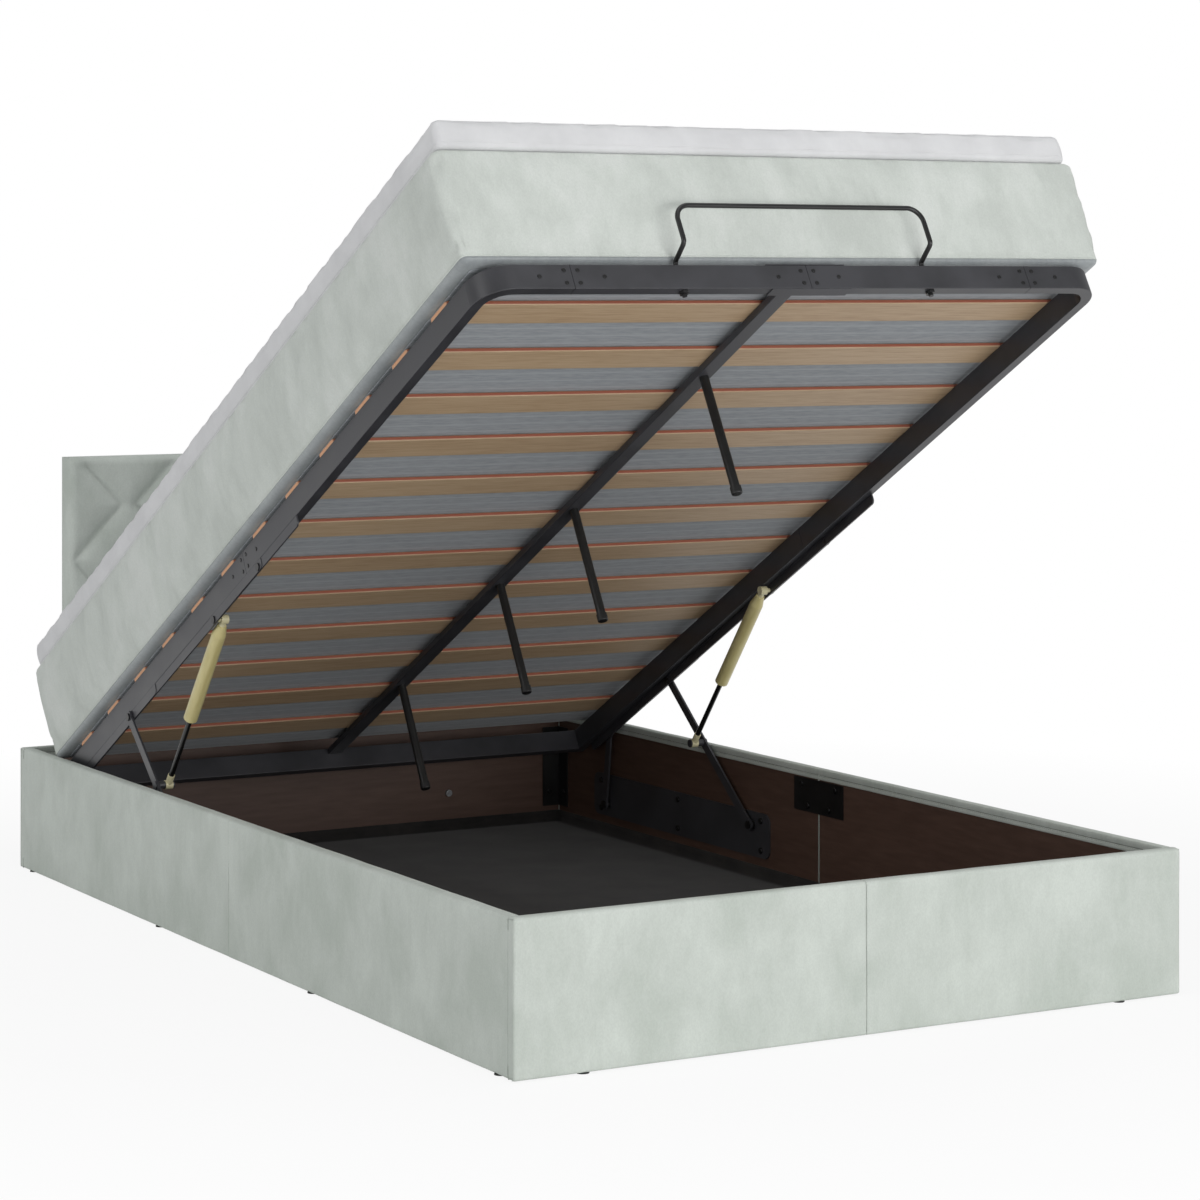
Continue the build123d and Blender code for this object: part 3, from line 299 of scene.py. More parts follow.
def moulded_plastic(name, dark, light, rough):
    """Injection moulded plastic: even colour with a fine spark-eroded grain."""
    material, tree = new_material(name)
    place = stretched(tree, (1, 1, 1))
    grain = add(tree, "TexNoise", {"Vector": place, "Scale": 700, "Detail": 2})
    slow = add(tree, "TexNoise", {"Vector": place, "Scale": 25, "Detail": 2})
    colour = add(tree, "ValToRGB", {"Fac": slow}, stops=((0.35, dark), (0.65, light)))
    bump = add(tree, "Bump", {"Height": grain, "Strength": 0.1, "Distance": 0.0003})
    links = {"Base Color": colour, "Roughness": rough, "IOR": 1.5, "Normal": bump}
    return finished(material, links)


def stove_enamel(name, dark, light, rough):
    """Cream enamel on the struts' tubes: smooth, and faintly streaked along the tube."""
    material, tree = new_material(name)
    place = stretched(tree, (1, 0.15, 0.15), math.radians(-52))
    streaks = add(tree, "TexNoise", {"Vector": place, "Scale": 120, "Detail": 3})
    peel = add(tree, "TexNoise", {"Vector": stretched(tree, (1, 1, 1)), "Scale": 350, "Detail": 1})
    colour = add(tree, "ValToRGB", {"Fac": streaks}, stops=((0.35, dark), (0.65, light)))
    bump = add(tree, "Bump", {"Height": peel, "Strength": 0.05, "Distance": 0.0003})
    links = {
        "Base Color": colour,
        "Roughness": rough,
        "IOR": 1.5,
        "Coat Weight": 0.15,
        "Coat Roughness": 0.2,
        "Normal": bump,
    }
    return finished(material, links)


sage_panel = brushed_velvet("sage_velvet_panel", "#BEC5BD", "#C7CDC6", "#CFD5CE")
sage_mattress = brushed_velvet(
    "sage_velvet_mattress", "#C5CAC4", "#CED3CD", "#D6DAD5", turn=lid_angle, offset=(3, 1, 2)
)
sage_thread = moulded_plastic("sage_polyester_thread", "#9BA39A", "#AAB1A8", 0.6)
# the satin's grey runs from painted shade (#8D9294) to painted sheen (#A0A5A6)
grey_satin = satin_band("grey_satin_band", "#8D9294", "#A0A5A6")
frame_coat = powder_coat("graphite_powder_coat", "#333336", "#3E3E42", 0.4)
black_coat = powder_coat("black_powder_coat", "#121212", "#1A1A1A", 0.36)
zinc = plated_steel("zinc_plated_steel", "#8F9194", "#B4B6B8", 0.38)
black_screw = powder_coat("black_oxide_steel", "#0B0B0B", "#141414", 0.35)
beech = beech_ply("lacquered_beech_ply")
brown_lining = board_face("brown_laminate", "#4A352B", "#5C453A", 0.5, (0.12, 0.12, 1), 130)
grey_felt = striped_felt("striped_grey_felt", "#868B8F", "#9A9EA2", "#BCC0C4")
white_knit = looped_cloth(
    "white_knitted_cotton", "#D6D6D7", "#DFDFE0", 450, 0.85, 0.0006, turn=lid_angle
)
black_cloth = looped_cloth("black_spunbond", "#1B1918", "#2B2826", 330, 0.9, 0.0005)
nylon = moulded_plastic("black_nylon", "#131313", "#1D1D1D", 0.5)
cream_enamel = stove_enamel("cream_enamel", "#C2B67E", "#CFC48D", 0.34)
cream_plastic = moulded_plastic("cream_acetal", "#C9C19A", "#D6CFAB", 0.42)
black_rod = powder_coat("black_nitrided_rod", "#0E0E0E", "#171717", 0.25)
raw_board = board_face("raw_fibreboard", "#A68B66", "#BFA47D", 0.8, (1, 1, 1), 350)


# Building pieces
def new_piece(name, verts, faces, material, body, matrix=None, second=None, second_from=0):
    """A mesh piece from points and faces, riding on a body.

    The faces from second_from on may have a second material.
    """
    mesh = bpy.data.meshes.new(name)
    mesh.from_pydata([tuple(v) for v in verts], [], faces)
    if matrix is not None:
        mesh.transform(matrix)
    mesh.materials.append(material)
    if second:
        mesh.materials.append(second)
        for polygon in mesh.polygons:
            polygon.material_index = 1 if polygon.index >= second_from else 0
    work = bmesh.new()
    work.from_mesh(mesh)
    bmesh.ops.remove_doubles(work, verts=work.verts, dist=1e-6)
    bmesh.ops.recalc_face_normals(work, faces=work.faces)
    work.to_mesh(mesh)
    work.free()
    for polygon in mesh.polygons:
        polygon.use_smooth = True
    piece = bpy.data.objects.new(name, mesh)
    bpy.context.scene.collection.objects.link(piece)
    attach(piece, body)
    return piece


def paint(material, *names):
    """Gives CAD nodes a material."""
    for name in names:
        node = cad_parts[name]
        node.data.materials.clear()
        node.data.materials.append(material)


def ease(value):
    """A smooth step between 0 and 1."""
    value = max(0.0, min(1.0, value))
    return value * value * (3 - 2 * value)


def rounding(radius, place):
    """How far a rounded edge of a radius stands back at a place in from it."""
    return radius - math.sqrt(max(radius**2 - max(radius - place, 0) ** 2, 0))


def wrinkle(x, y, z, scale):
    """Smooth noise between about -1 and 1, finer for a larger scale."""
    return noise.noise(Vector((x, y, z)) * scale)


cloth_frames = 20


def swell(piece, held, pressure, extra, cap):
    """Fills a cover as cloth with a little slack, held at its seams.

    No point ends further than the cap from its start.
    """
    starts = [vertex.co.copy() for vertex in piece.data.vertices]
    seams = piece.vertex_groups.new(name="seams")
    to_lid = lid_matrix.inverted()
    seams.add([i for i, spot in enumerate(starts) if held(to_lid @ spot)], 1.0, "REPLACE")
    cloth = piece.modifiers.new("cloth", "CLOTH")
    cloth.settings.quality = 4
    cloth.settings.mass = 0.3
    cloth.settings.tension_stiffness = 25
    cloth.settings.compression_stiffness = 12
    cloth.settings.shear_stiffness = 6
    cloth.settings.bending_stiffness = 0.6
    cloth.settings.use_pressure = True
    cloth.settings.uniform_pressure_force = pressure
    cloth.settings.shrink_min = -extra
    cloth.settings.vertex_group_mass = "seams"
    cloth.settings.pin_stiffness = 50
    cloth.settings.effector_weights.gravity = 0
    cloth.collision_settings.use_collision = False
    scene = bpy.context.scene
    for number in range(1, cloth_frames + 1):
        scene.frame_set(number)
    posed = piece.evaluated_get(bpy.context.evaluated_depsgraph_get())
    ends = [vertex.co.copy() for vertex in posed.data.vertices]
    piece.modifiers.remove(cloth)
    scene.frame_set(1)
    for vertex, first, last in zip(piece.data.vertices, starts, ends):
        move = last - first
        if move.length > cap:
            move *= cap / move.length
        vertex.co = first + move


# Padded velvet covers of the box: the section's edges, and how thick the cloth and wadding lie
lower_edge_radius = 0.0045
upper_edge_radius = 0.007
inner_edge_radius = 0.0024
wadding = 0.004
fold_margin = 0.003
face_steps = 26


def arc_points(depth, height, radius, start, stop, steps):
    """Points round part of a circle, by angles in degrees."""
    angles = [math.radians(start + (stop - start) * i / steps) for i in range(steps + 1)]
    return [(depth + radius * math.cos(a), height + radius * math.sin(a)) for a in angles]


def cover_profile():
    """The cover's section, as (depth in from the outer face, height), going round once."""
    back = panel_thickness
    bottom = panel_bottom
    top = panel_top
    low = lower_edge_radius
    high = upper_edge_radius
    small = inner_edge_radius
    fold = top - cover_fold
    # the fold behind the panel's foot, the lower edge and the outer face
    points = [(back, bottom + cover_fold), (back, bottom + wadding)]
    points += [(back - 0.002 - i * 0.0026, bottom) for i in range(5)]
    points += arc_points(low, bottom + low, low, 270, 180, 5)
    rise = top - high - bottom - low
    points += [(0, bottom + low + rise * i / face_steps) for i in range(1, face_steps)]
    # the padded top edge, and the fold behind it with its sewn line
    points += arc_points(high, top - high, high, 180, 90, 6)
    points += [(high + i * 0.0032, top + 0.0002 * i * (3 - i)) for i in range(1, 3)]
    points += arc_points(back - small, top - small, small, 90, 0, 3)
    points += [(back, top - 0.009), (back - 0.0012, top - 0.0115), (back, top - 0.014)]
    points.append((back, fold + 0.001))
    # back round the board
    points += [(back - 0.0006, fold), (board_reach, fold - 0.0005)]
    points += [(board_reach, top - fold_margin), (wadding, top - fold_margin)]
    points += [(wadding, bottom + fold_margin), (board_reach, bottom + fold_margin)]
    return points + [(board_reach, bottom + cover_fold)]


def panel_place(side, low, high, along, depth, height):
    """A point on a panel from how far along, how deep and how high it is."""
    if side == "foot":
        return (low.x + along, low.y + depth, height)
    if side == "head":
        return (low.x + along, high.y - depth, height)
    if side == "left":
        return (low.x + depth, low.y + along, height)
    return (high.x - depth, low.y + along, height)


# Along a cover: a finely drawn run at each end, and one row of points every 12 mm between them
end_run = 0.03
row_step = 0.012
# The cloth that closes each end, and its corners as (depth, height)
closing_inset = 0.0008
closing_outline = ((0.0022, 0.004), (0.0202, 0.004), (0.0202, 0.2385), (0.0022, 0.2385))
# The outer face reaches this deep, and the rest of the section lies behind it
face_depth = 0.0035

# How far each end of a cover rounds off: an open corner, or a tight end that meets another cover
open_end = 0.0045
tight_end = 0.0018
cover_ends = {
    "foot_left_cover": (open_end, tight_end),
    "foot_right_cover": (tight_end, open_end),
    "head_cover": (open_end, open_end),
}


def soft_cover(name, side):
    """One padded cover with rounded ends, a slight swell and the fabric's small pulls."""
    low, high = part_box(name)
    length = high.x - low.x if side in ("foot", "head") else high.y - low.y
    profile = cover_profile()
    middle = (panel_bottom + panel_top) / 2
    ends = cover_ends.get(name, (tight_end, tight_end))
    stations = [0, 0.0004, 0.0012, 0.0025, open_end]
    stations += [open_end + (end_run - open_end) * i / 5 for i in range(1, 6)]
    middle_run = length - 2 * end_run
    count = max(8, round(middle_run / row_step))
    stations += [end_run + middle_run * i / count for i in range(1, count)]
    stations += [length - value for value in reversed(stations[:10])]
    seed = sum(ord(letter) for letter in name) * 0.37
    verts = []
    for along in stations:
        edge = min(along, length - along)
        end = ends[0] if along < length / 2 else ends[1]
        back = rounding(end, edge)
        for depth, height in profile:
            if depth < face_depth or height > panel_top - fold_margin:
                bulge = ease(edge / 0.25) * (1 - ((height - middle) / 0.13) ** 2)
                pull = ease(1 - abs(edge - 0.02) / 0.12) * wrinkle(seed, along * 0.4, height, 26)
                near_top = ease(1 - (panel_top - height) / 0.03)
                near_bottom = ease(1 - (height - panel_bottom) / 0.04)
                gather = (near_top + near_bottom) * wrinkle(along, seed, 0, 11) * 0.0006
                ripple = wrinkle(along * 0.7, seed, height, 7) * 0.0008
                out = 0.0011 * max(bulge, 0) + pull * 0.0007 + gather + ripple
                if depth < face_depth:
                    depth = depth + back - out
                else:
                    height = height - back * 0.6 + gather * 0.8
            elif height < panel_bottom + fold_margin and depth < 0.016:
                height = height + back * 0.6
            verts.append(panel_place(side, low, high, along, depth, height))
    n = len(profile)
    faces = []
    for i in range(len(stations) - 1):
        for j in range(n):
            k = (j + 1) % n
            faces.append((i * n + j, i * n + k, (i + 1) * n + k, (i + 1) * n + j))
    for along in (closing_inset, length - closing_inset):
        first = len(verts)
        for depth, height in closing_outline:
            verts.append(panel_place(side, low, high, along, depth, height))
        faces.append((first, first + 1, first + 2, first + 3))
    piece = new_piece(name + "_velvet", verts, faces, sage_panel, "base")
    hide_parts(name)


covers = {
    "foot_left_cover": "foot",
    "foot_right_cover": "foot",
    "head_cover": "head",
    "left_front_cover": "left",
    "left_rear_cover": "left",
    "right_front_cover": "right",
    "right_rear_cover": "right",
}
for cover, side in covers.items():
    soft_cover(cover, side)


# Soft slabs: the mattress and the topper
def rounded_plan(half_x, half_y, radius, per_corner=8, per_side=100):
    """Points round a rounded rectangle, centred on zero."""
    radius = max(radius, 0.001)
    points = []
    corners = ((1, 1, 0), (-1, 1, 90), (-1, -1, 180), (1, -1, 270))
    arcs = []
    for sx, sy, start in corners:
        cx = sx * (half_x - radius)
        cy = sy * (half_y - radius)
        arc = []
        for i in range(per_corner + 1):
            angle = math.radians(start + 90 * i / per_corner)
            arc.append((cx + radius * math.cos(angle), cy + radius * math.sin(angle)))
        arcs.append(arc)
    for i, arc in enumerate(arcs):
        points += arc
        following = arcs[(i + 1) % 4][0]
        last = arc[-1]
        runs = per_side if i % 2 == 1 else round(per_side * 0.6)
        for k in range(1, runs):
            share = k / runs
            x = last[0] + (following[0] - last[0]) * share
            y = last[1] + (following[1] - last[1]) * share
            points.append((x, y))
    return points


least_corner = 0.006
# The mattress: its rounded upper edge, the satin strip below the seam, and the felt over the slats
mattress_edge = 0.013
border_steps = 18
strip_drop = 0.011
strip_tuck = 0.020
felt_upper = 0.0024
felt_lower = 0.0005
# The topper's rounded edges
topper_edge = 0.010
topper_foot_edge = 0.008


def slab(half_x, length, start, radius, rings, shape_point):
    """A closed slab from rings of (height, inset), each following the rounded plan."""
    verts = []
    faces = []
    half_y = length / 2
    for height, inset in rings:
        plan = rounded_plan(half_x - inset, half_y - inset, max(radius - inset, least_corner))
        size = len(plan)
        for x, y in plan:
            verts.append(shape_point(x, y, height, inset, start + half_y))
    for i in range(len(rings) - 1):
        for j in range(size):
            k = (j + 1) % size
            faces.append((i * size + j, i * size + k, (i + 1) * size + k, (i + 1) * size + j))
    faces.append(tuple(range(size)))
    faces.append(tuple((len(rings) - 1) * size + j for j in range(size)))
    return verts, faces


def crown_inset(height):
    """How far the mattress's side stands back from its widest line at a height."""
    share = (height - mattress_bottom) / (mattress_top - mattress_bottom)
    return mattress_crown * (1 - share) ** 2


def mattress_pieces():
    """The velvet border with its satin strip, in one, and the felt underside."""
    top = mattress_top - 0.0005
    rings = [(top, 0.30), (top, 0.16), (top, 0.07), (top, 0.03)]
    for i in range(6):
        angle = math.radians(90 * i / 5)
        drop = mattress_edge * (1 - math.cos(angle))
        rings.append((top - drop, mattress_edge * (1 - math.sin(angle))))
    start = top - mattress_edge
    for i in range(1, border_steps + 1):
        height = start + (seam_height + 0.002 - start) * i / border_steps
        rings.append((height, crown_inset(height)))
    seam_inset = crown_inset(seam_height)
    rings += [(seam_height + 0.0008, seam_inset + 0.001), (seam_height, seam_inset + 0.0022)]
    velvet_rings = len(rings) - 1
    rings.append((seam_height - 0.001, seam_inset + 0.0006))
    for i in range(1, 7):
        angle = math.radians(90 * i / 6)
        height = seam_height - 0.001 - strip_drop * math.sin(angle)
        rings.append((height, seam_inset + 0.0006 + strip_tuck * (1 - math.cos(angle))))

    def border_point(x, y, height, inset, middle):
        """A point of the border, pushed in or out a little by the cloth's unevenness."""
        push = wrinkle(x, y, height, 5) * 0.0018 + wrinkle(x * 1.3, y, height * 3, 17) * 0.0006
        level = ease((mattress_top - height) / 0.03) * ease((height - seam_height) / 0.02)
        reach = math.hypot(x, y) or 1
        scale = 1 + push * level / reach
        return (x * scale, y * scale + middle, height)

    outline = (mattress_half, mattress_length, mattress_start, mattress_corner)
    verts, faces = slab(*outline, rings, border_point)
    around = len(verts) // len(rings)
    lid_face, under_face = faces[-2:]
    faces = [lid_face] + faces[:-2] + [under_face]
    border = new_piece(
        "mattress_border",
        verts,
        faces,
        sage_mattress,
        "lid",
        matrix=lid_matrix,
        second=grey_satin,
        second_from=1 + velvet_rings * around,
    )
    swell(
        border,
        lambda spot: spot.z < seam_height + 0.004 or spot.z > mattress_top - 0.006,
        pressure=1.0,
        extra=0.012,
        cap=0.005,
    )
    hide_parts("mattress_cover", "mattress_core")
    rim = seam_inset + 0.021
    upper = slat_top + felt_upper
    lower = slat_top + felt_lower
    under = [(upper, rim + 0.05), (upper, rim + 0.003), (slat_top + 0.0014, rim)]
    under += [(lower, rim + 0.002), (lower, rim + 0.05), (lower, rim + 0.2)]

    def under_point(x, y, height, inset, middle):
        """A point of the felt, which lies flat."""
        return (x, y + middle, height)

    verts, faces = slab(*outline, under, under_point)
    name = "mattress_underside_felt"
    bottom = new_piece(name, verts, faces, grey_felt, "lid", matrix=lid_matrix)
    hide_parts("mattress_underside")


def piping(name, half_x, length, start, radius, height, thickness, material):
    """A sewn cord of cloth round a slab's edge; its thickness is measured from its middle line."""
    plan = rounded_plan(half_x, length / 2, radius)
    verts = []
    faces = []
    around = 8
    middle = start + length / 2
    total = len(plan)
    for i, (x, y) in enumerate(plan):
        before = plan[i - 1]
        after = plan[(i + 1) % total]
        along = Vector((after[0] - before[0], after[1] - before[1], 0)).normalized()
        out = Vector((along.y, -along.x, 0))
        for k in range(around):
            angle = 2 * math.pi * k / around
            spot = Vector((x, y + middle, height))
            spot += out * (thickness * math.cos(angle))
            spot.z += thickness * math.sin(angle)
            verts.append(spot)
    for i in range(total):
        for k in range(around):
            a = i * around + k
            b = i * around + (k + 1) % around
            c = ((i + 1) % total) * around + (k + 1) % around
            d = ((i + 1) % total) * around + k
            faces.append((a, b, c, d))
    new_piece(name, verts, faces, material, "lid", matrix=lid_matrix)


def topper_piece():
    """The topper's knitted cover, soft at its edges and a little uneven."""
    middle = (topper_bottom + topper_top) / 2
    half_height = (topper_top - topper_bottom) / 2
    rings = [(topper_top - 0.0002, 0.3), (topper_top - 0.0002, 0.1), (topper_top - 0.0004, 0.03)]
    for i in range(7):
        angle = math.radians(90 * i / 6)
        height = topper_top - topper_edge + 0.0098 * math.cos(angle)
        rings.append((height, 0.0105 - topper_edge * math.sin(angle)))
    for i in range(1, 8):
        height = topper_top - topper_edge - (2 * half_height - 0.018) * i / 8
        rings.append((height, 0.0005 - 0.0012 * math.sin(math.pi * i / 8)))
    for i in range(5):
        angle = math.radians(90 * i / 4)
        height = topper_bottom + topper_foot_edge - 0.0078 * math.sin(angle)
        rings.append((height, 0.0005 + 0.009 * (1 - math.cos(angle))))
    rings += [(topper_bottom + 0.0002, 0.03), (topper_bottom + 0.0002, 0.2)]

    def point(x, y, height, inset, centre):
        """A point of the topper, uneven at its side and on top."""
        ripple = wrinkle(x, y, height, 6) * 0.0015 + wrinkle(x, y, height, 21) * 0.0005
        reach = math.hypot(x, y) or 1
        side = ease(1 - abs(height - middle) / half_height)
        scale = 1 + ripple * side / reach
        lift = ripple * 0.8 if height > middle and inset > 0.02 else 0
        return (x * scale, y * scale + centre, height + lift)

    verts, faces = slab(topper_half, topper_length, topper_start, topper_corner, rings, point)
    piece = new_piece("topper_cover", verts, faces, white_knit, "lid", matrix=lid_matrix)
    swell(
        piece,
        lambda spot: spot.z < topper_bottom + 0.009 or spot.z > topper_top - 0.0015,
        pressure=0.8,
        extra=0.008,
        cap=0.003,
    )
    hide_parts("topper")


mattress_pieces()
topper_piece()
seam_inset = crown_inset(seam_height)
cord_inset = seam_inset + 0.0006
piping(
    "mattress_lower_piping",
    half_x=mattress_half - cord_inset,
    length=mattress_length - 2 * cord_inset,
    start=mattress_start + cord_inset,
    radius=mattress_corner - seam_inset,
    height=seam_height,
    thickness=0.0014,
    material=sage_mattress,
)
piping(
    "topper_seam_cord",
    half_x=topper_half - 0.001,
    length=topper_length - 0.002,
    start=topper_start + 0.001,
    radius=topper_corner,
    height=topper_bottom + 0.0085,
    thickness=0.0012,
    material=white_knit,
)


# Stitches along the folds: their spacing, their height, and one stitch's points as (along, out, up)
stitch_pitch = 0.006
fold_line = panel_top - 0.0135
stitch_shape = (
    (0, 0, 0), (0.001, 0.0005, 0.0004), (0.001, 0.0005, -0.0004),
    (0.003, 0.0005, 0.0004), (0.003, 0.0005, -0.0004), (0.004, 0, 0),
)


def stitch_row(name, side, depth, height):
    """A row of thread stitches, 4 mm long and 6 mm apart, along a panel's inner fold."""
    low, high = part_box(side + "_front_cover") if side in ("left", "right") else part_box(side)
    if side in ("left", "right"):
        high = Vector((high.x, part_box(side + "_rear_cover")[1].y, high.z))
    kind = side.split("_")[0]
    length = high.x - low.x if kind in ("foot", "head") else high.y - low.y
    margin = 0.024 if kind in ("foot", "head") else 0.004
    count = int((length - 2 * margin) / stitch_pitch)
    verts = []
    faces = []
    for i in range(count):
        start = margin + i * stitch_pitch
        first = len(verts)
        for along, out, up in stitch_shape:
            verts.append(panel_place(kind, low, high, start + along, depth + out, height + up))
        faces += [
            (first, first + 1, first + 2),
            (first + 1, first + 3, first + 4, first + 2),
            (first + 3, first + 5, first + 4),
        ]
    new_piece(name, verts, faces, sage_thread, "base")


for side in ("left", "right", "foot_left_cover", "foot_right_cover", "head_cover"):
    stitch_row("fold_stitches_" + side.replace("_cover", ""), side, panel_thickness, fold_line)


# Headboard pad
stitch_columns = 4
stitch_neck = 0.030
stitch_first = 0.716
stitch_half_rise = 0.111
stitch_swing = 0.104
stitch_margin = 0.016
pad_edge = 0.016
pad_foot_edge = 0.010
groove_width = 0.010
groove_depth = 0.0090
groove_fade = 0.025
puff_width = 0.035
puff_height = 0.0070
pad_level = 0.0075
pad_ripple = 0.0012
# Loops of points round the edge behind the front, as (depth, inset)
pad_back = (
    (0.026, 0), (0.034, 0), (0.050, 0.0002), (0.0560, 0.0015), (0.0577, 0.008), (0.0577, 0.02),
)


def stitch_lines():
    """Rows of stitching as lists of (x, z) points, narrow at the necks and wide between them."""
    column = 2 * headboard_half / stitch_columns
    rows = []
    for i in range(stitch_columns):
        neck = -headboard_half + (i + 0.5) * column
        for way in (-1, 1):
            x = neck + way * stitch_neck / 2
            z = stitch_first
            top_rise = headboard_top - stitch_margin - z
            points = [(x + way * stitch_swing * top_rise / stitch_half_rise, z + top_rise), (x, z)]
            wide = True
            while z > headboard_pad_bottom:
                z -= stitch_half_rise
                points.append((x + way * stitch_swing if wide else x, z))
                wide = not wide
            rows.append(points)
    return rows


def distance_to_rows(x, z, rows):
    """How far a point of the pad lies from the nearest row, or 1 where none is near."""
    best = 1.0
    near = 0.09
    for points in rows:
        for (ax, az), (bx, bz) in zip(points, points[1:]):
            if min(ax, bx) - near > x or max(ax, bx) + near < x:
                continue
            run = bx - ax
            rise = bz - az
            share = ((x - ax) * run + (z - az) * rise) / (run * run + rise * rise)
            share = max(0.0, min(1.0, share))
            gap = math.hypot(x - ax - share * run, z - az - share * rise)
            best = min(best, gap)
    return best


def headboard_pad():
    """The headboard's front: foam under velvet, drawn in along each row of stitching."""
    rows = stitch_lines()
    step = 0.0045
    across = round(2 * headboard_half / step)
    upward = round((headboard_top - headboard_pad_bottom) / step)
    verts = []
    faces = []
    for j in range(upward + 1):
        z = headboard_pad_bottom + (headboard_top - headboard_pad_bottom) * j / upward
        for i in range(across + 1):
            x = -headboard_half + 2 * headboard_half * i / across
            gap = distance_to_rows(x, z, rows)
            side = min(headboard_half - abs(x), headboard_top - z)
            groove = math.exp(-gap / groove_width) * ease(side / groove_fade)
            puff = 1 - math.exp(-gap / puff_width)
            edges = rounding(pad_edge, side) + rounding(pad_foot_edge, z - headboard_pad_bottom)
            ripple = wrinkle(x, 0, z, 14) * pad_ripple * puff
            depth = pad_level - puff_height * puff + groove_depth * groove + edges - ripple
            verts.append((x, headboard_front + depth, z))
    width = across + 1
    for j in range(upward):
        for i in range(across):
            a = j * width + i
            faces.append((a, a + 1, a + width + 1, a + width))
    # sides, top and bottom run back to the board and round behind it
    rim = [j * width for j in range(upward + 1)]
    rim += [upward * width + i for i in range(1, width)]
    rim += [j * width + width - 1 for j in range(upward - 1, -1, -1)]
    rim += [i for i in range(width - 2, 0, -1)]
    loops = [rim]
    for depth, inset in pad_back:
        loop = []
        for index in rim:
            x, _, z = verts[index]
            x = max(-headboard_half + inset, min(headboard_half - inset, x))
            z = max(headboard_pad_bottom + inset * 0.5, min(headboard_top - inset, z))
            loop.append(len(verts))
            verts.append((x, headboard_front + depth, z))
        loops.append(loop)
    for first, second in zip(loops, loops[1:]):
        for k in range(len(first)):
            n = (k + 1) % len(first)
            faces.append((first[k], second[k], second[n], first[n]))
    faces.append(tuple(loops[-1]))
    piece = new_piece("headboard_velvet", verts, faces, sage_panel, "base")
    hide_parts("headboard_pad")


headboard_pad()


# Storage floor cloth: its hem over the covers' folds, how it lies, and its points across and along
hem_rise = 0.003
cloth_thickness = 0.0008
cloth_drop = 0.0006
cloth_across = 60
cloth_along = 100


def hemmed(low, high, hem, count):
    """Places over the cloth as (position, rise): an even run, and a hem of two rows at each end."""
    run = [(low + (high - low) * i / count, 0) for i in range(count + 1)]
    return [(low, hem), (low, hem / 2)] + run + [(high, hem / 2), (high, hem)]


def floor_cloth():
    """The cloth floor, with a hem turned up over the covers' lower folds."""
    low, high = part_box("storage_floor_cloth")
    hem = cover_fold + hem_rise
    xs = hemmed(low.x, high.x, hem, cloth_across)
    ys = hemmed(low.y, high.y, hem, cloth_along)
    verts = []
    faces = []
    for y, rise_y in ys:
        for x, rise_x in xs:
            edge = min(x - low.x, high.x - x, y - low.y, high.y - y)
            # flat under the feet of the support legs, which stand on the middle line
            loose = ease(edge / 0.06) * ease((abs(x) - 0.03) / 0.05)
            lift = loose * (0.0012 + wrinkle(x, y, 0, 9) * 0.0012)
            verts.append((x, y, high.z - cloth_drop + lift + max(rise_x, rise_y)))
    width = len(xs)
    for j in range(len(ys) - 1):
        for i in range(width - 1):
            a = j * width + i
            faces.append((a, a + 1, a + width + 1, a + width))
    piece = new_piece("storage_floor_liner", verts, faces, black_cloth, "base")
    thick = piece.modifiers.new("thickness", "SOLIDIFY")
    thick.thickness = cloth_thickness
    thick.offset = 0
    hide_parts("storage_floor_cloth")


floor_cloth()

# Finishes of the carried-over solids
steel_names = [
    "corner_rail_left", "corner_rail_right", "foot_rail_left", "foot_rail_right",
    "rear_side_rail_left", "rear_side_rail_right", "head_rail", "foot_splice_plate", "centre_beam",
    "lift_plate_left", "lift_plate_right", "front_link_left", "front_link_right", "rear_link_left",
    "rear_link_right", "base_plate_left", "base_plate_right", "rail_sleeves",
]
paint(frame_coat, *steel_names)
paint(black_coat, "support_legs", "handle", "panel_joint_plates", "corner_brackets")
paint(black_screw, "panel_bolts", "rail_rivets", "lid_pivot_pins", "base_pivot_pins")
paint(zinc, "headboard_bolts")
paint(beech, "slats")
paint(
    brown_lining,
    *[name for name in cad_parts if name.endswith("_board") and name != "headboard_board"],
)
paint(raw_board, "headboard_board", "headboard_struts")
paint(nylon, "leg_feet", "floor_glides")
paint(cream_enamel, "strut_cylinder_left", "strut_cylinder_right")
paint(
    cream_plastic,
    "strut_lower_fitting_left",
    "strut_lower_fitting_right",
    "strut_top_eye_left",
    "strut_top_eye_right",
)
paint(black_rod, "strut_rod_left", "strut_rod_right")


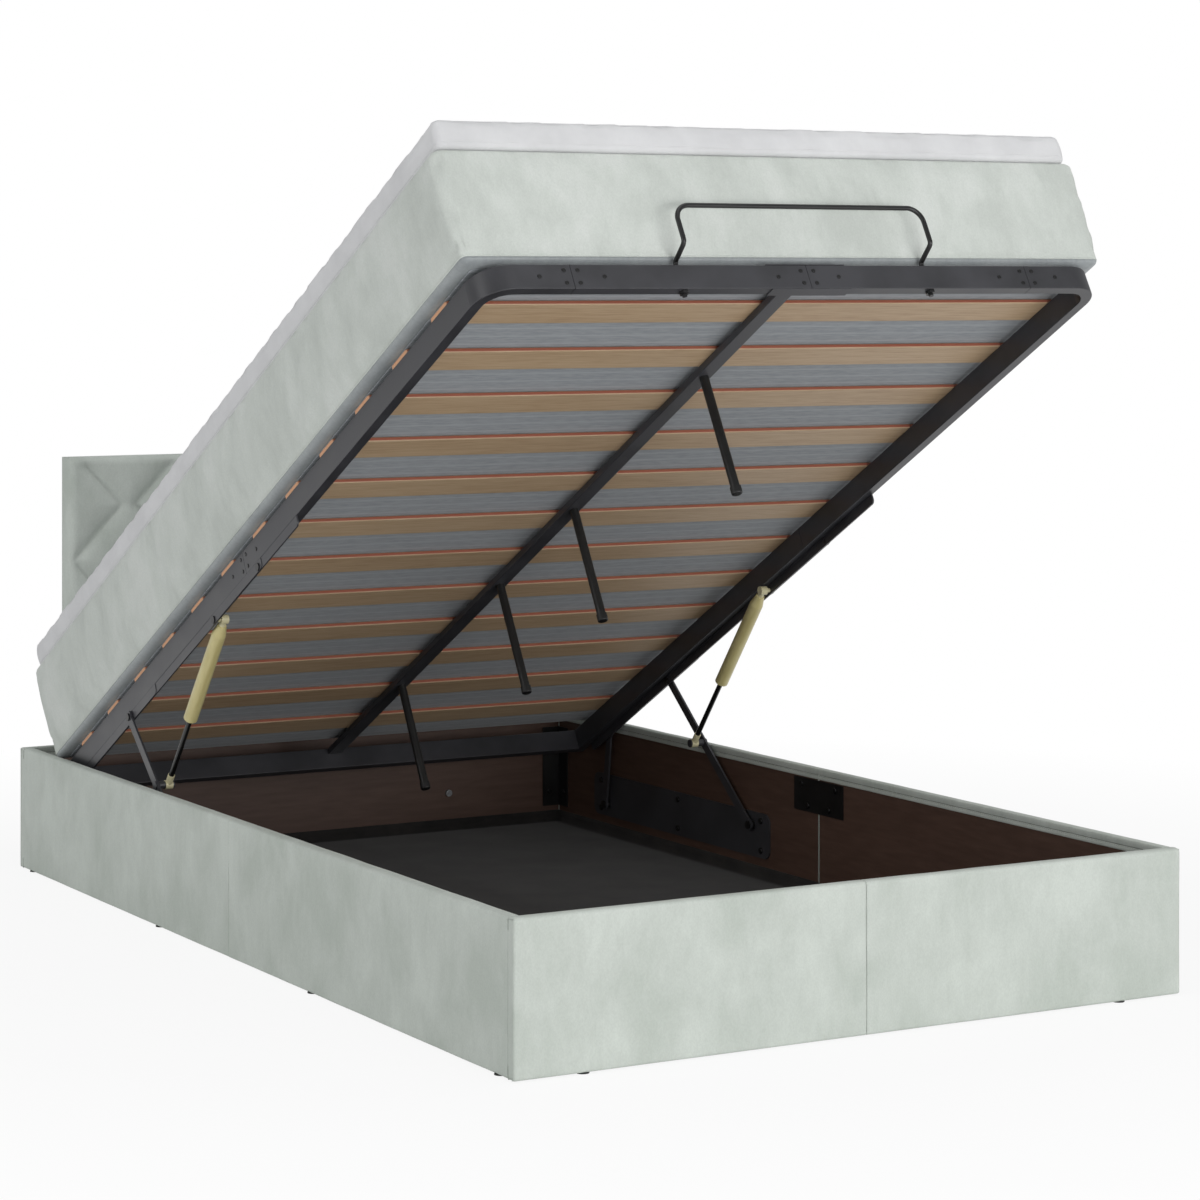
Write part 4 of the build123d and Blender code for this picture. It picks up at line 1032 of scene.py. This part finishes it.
# Floor, light and camera
def studio():
    """A pale floor that keeps the bed's shadow and turns white far off, and a white sky."""
    material, tree = new_material("pale_floor")
    camera_ray = add(tree, "LightPath", out="Is Camera Ray")
    glossy_ray = add(tree, "LightPath", out="Is Glossy Ray")
    seen = add(tree, "Math", {0: camera_ray, 1: glossy_ray}, operation="MAXIMUM")
    place = add(tree, "TexCoord", out="Object")
    away = add(tree, "VectorMath", {0: place}, out="Value", operation="LENGTH")
    share = {"Value": away, "From Min": 1.3, "From Max": 2.6, "To Min": 0.88, "To Max": 1.0}
    share = add(tree, "MapRange", share)
    share = add(tree, "Math", {0: seen, 1: share}, operation="MULTIPLY")
    diffuse = add(tree, "BsdfDiffuse", {"Color": hex_colour("#F2F2F2")})
    bright = add(tree, "Emission", {"Color": (1, 1, 1, 1), "Strength": 1.0})
    mix = add(tree, "MixShader", {0: share, 1: diffuse, 2: bright})
    add(tree, "OutputMaterial", {"Surface": mix}, out=None)
    mesh = bpy.data.meshes.new("studio_floor")
    reach = 60
    corners = [(-reach, -reach, 0), (reach, -reach, 0), (reach, reach, 0), (-reach, reach, 0)]
    mesh.from_pydata(corners, [], [(0, 1, 2, 3)])
    mesh.materials.append(material)
    floor = bpy.data.objects.new("studio_floor", mesh)
    bpy.context.scene.collection.objects.link(floor)

    world = bpy.data.worlds.new("studio")
    bpy.context.scene.world = world
    world.use_nodes = True
    tree = world.node_tree
    tree.nodes.clear()
    camera_ray = add(tree, "LightPath", out="Is Camera Ray")
    clear_ray = add(tree, "LightPath", out="Is Transmission Ray")
    seen = add(tree, "Math", {0: camera_ray, 1: clear_ray}, operation="MAXIMUM")
    soft = add(tree, "Background", {"Color": (0.97, 0.985, 1, 1), "Strength": 0.42})
    white = add(tree, "Background", {"Color": (1, 1, 1, 1), "Strength": 1.0})
    mix = add(tree, "MixShader", {0: seen, 1: soft, 2: white})
    add(tree, "OutputWorld", {"Surface": mix}, out=None)


def soft_lamp(name, place, aim, width, height, power):
    """A large lamp of a width and height in metres, turned to face a point."""
    data = bpy.data.lights.new(name, "AREA")
    data.shape = "RECTANGLE"
    data.size = width
    data.size_y = height
    data.energy = power
    lamp = bpy.data.objects.new(name, data)
    lamp.location = place
    lamp.rotation_mode = "QUATERNION"
    lamp.rotation_quaternion = (Vector(aim) - Vector(place)).to_track_quat("-Z", "Y")
    bpy.context.scene.collection.objects.link(lamp)


def photo_camera():
    """The camera that fits the photograph: level, and shifted down to frame the bed."""
    data = bpy.data.cameras.new("photo_camera")
    data.sensor_width = 36
    data.lens = 100.714
    data.shift_y = -0.26258
    data.clip_end = 200
    camera = bpy.data.objects.new("photo_camera", data)
    camera.location = (-2.92258, -5.37833, 1.16164)
    camera.rotation_euler = (math.radians(90), 0, math.radians(-29.6254))
    bpy.context.scene.collection.objects.link(camera)
    bpy.context.scene.camera = camera


studio()
soft_lamp("front_lamp", (0.6, -6.5, 0.9), aim=(0, 0, 0.5), width=4.5, height=1.7, power=160)
soft_lamp("left_lamp", (-5.5, -1.0, 2.4), aim=(0, 0, 0.3), width=3, height=2, power=60)
soft_lamp("top_lamp", (0.5, -1.0, 5.5), aim=(0, -0.3, 0), width=4, height=4, power=55)
photo_camera()
bpy.context.scene.view_settings.view_transform = "Standard"
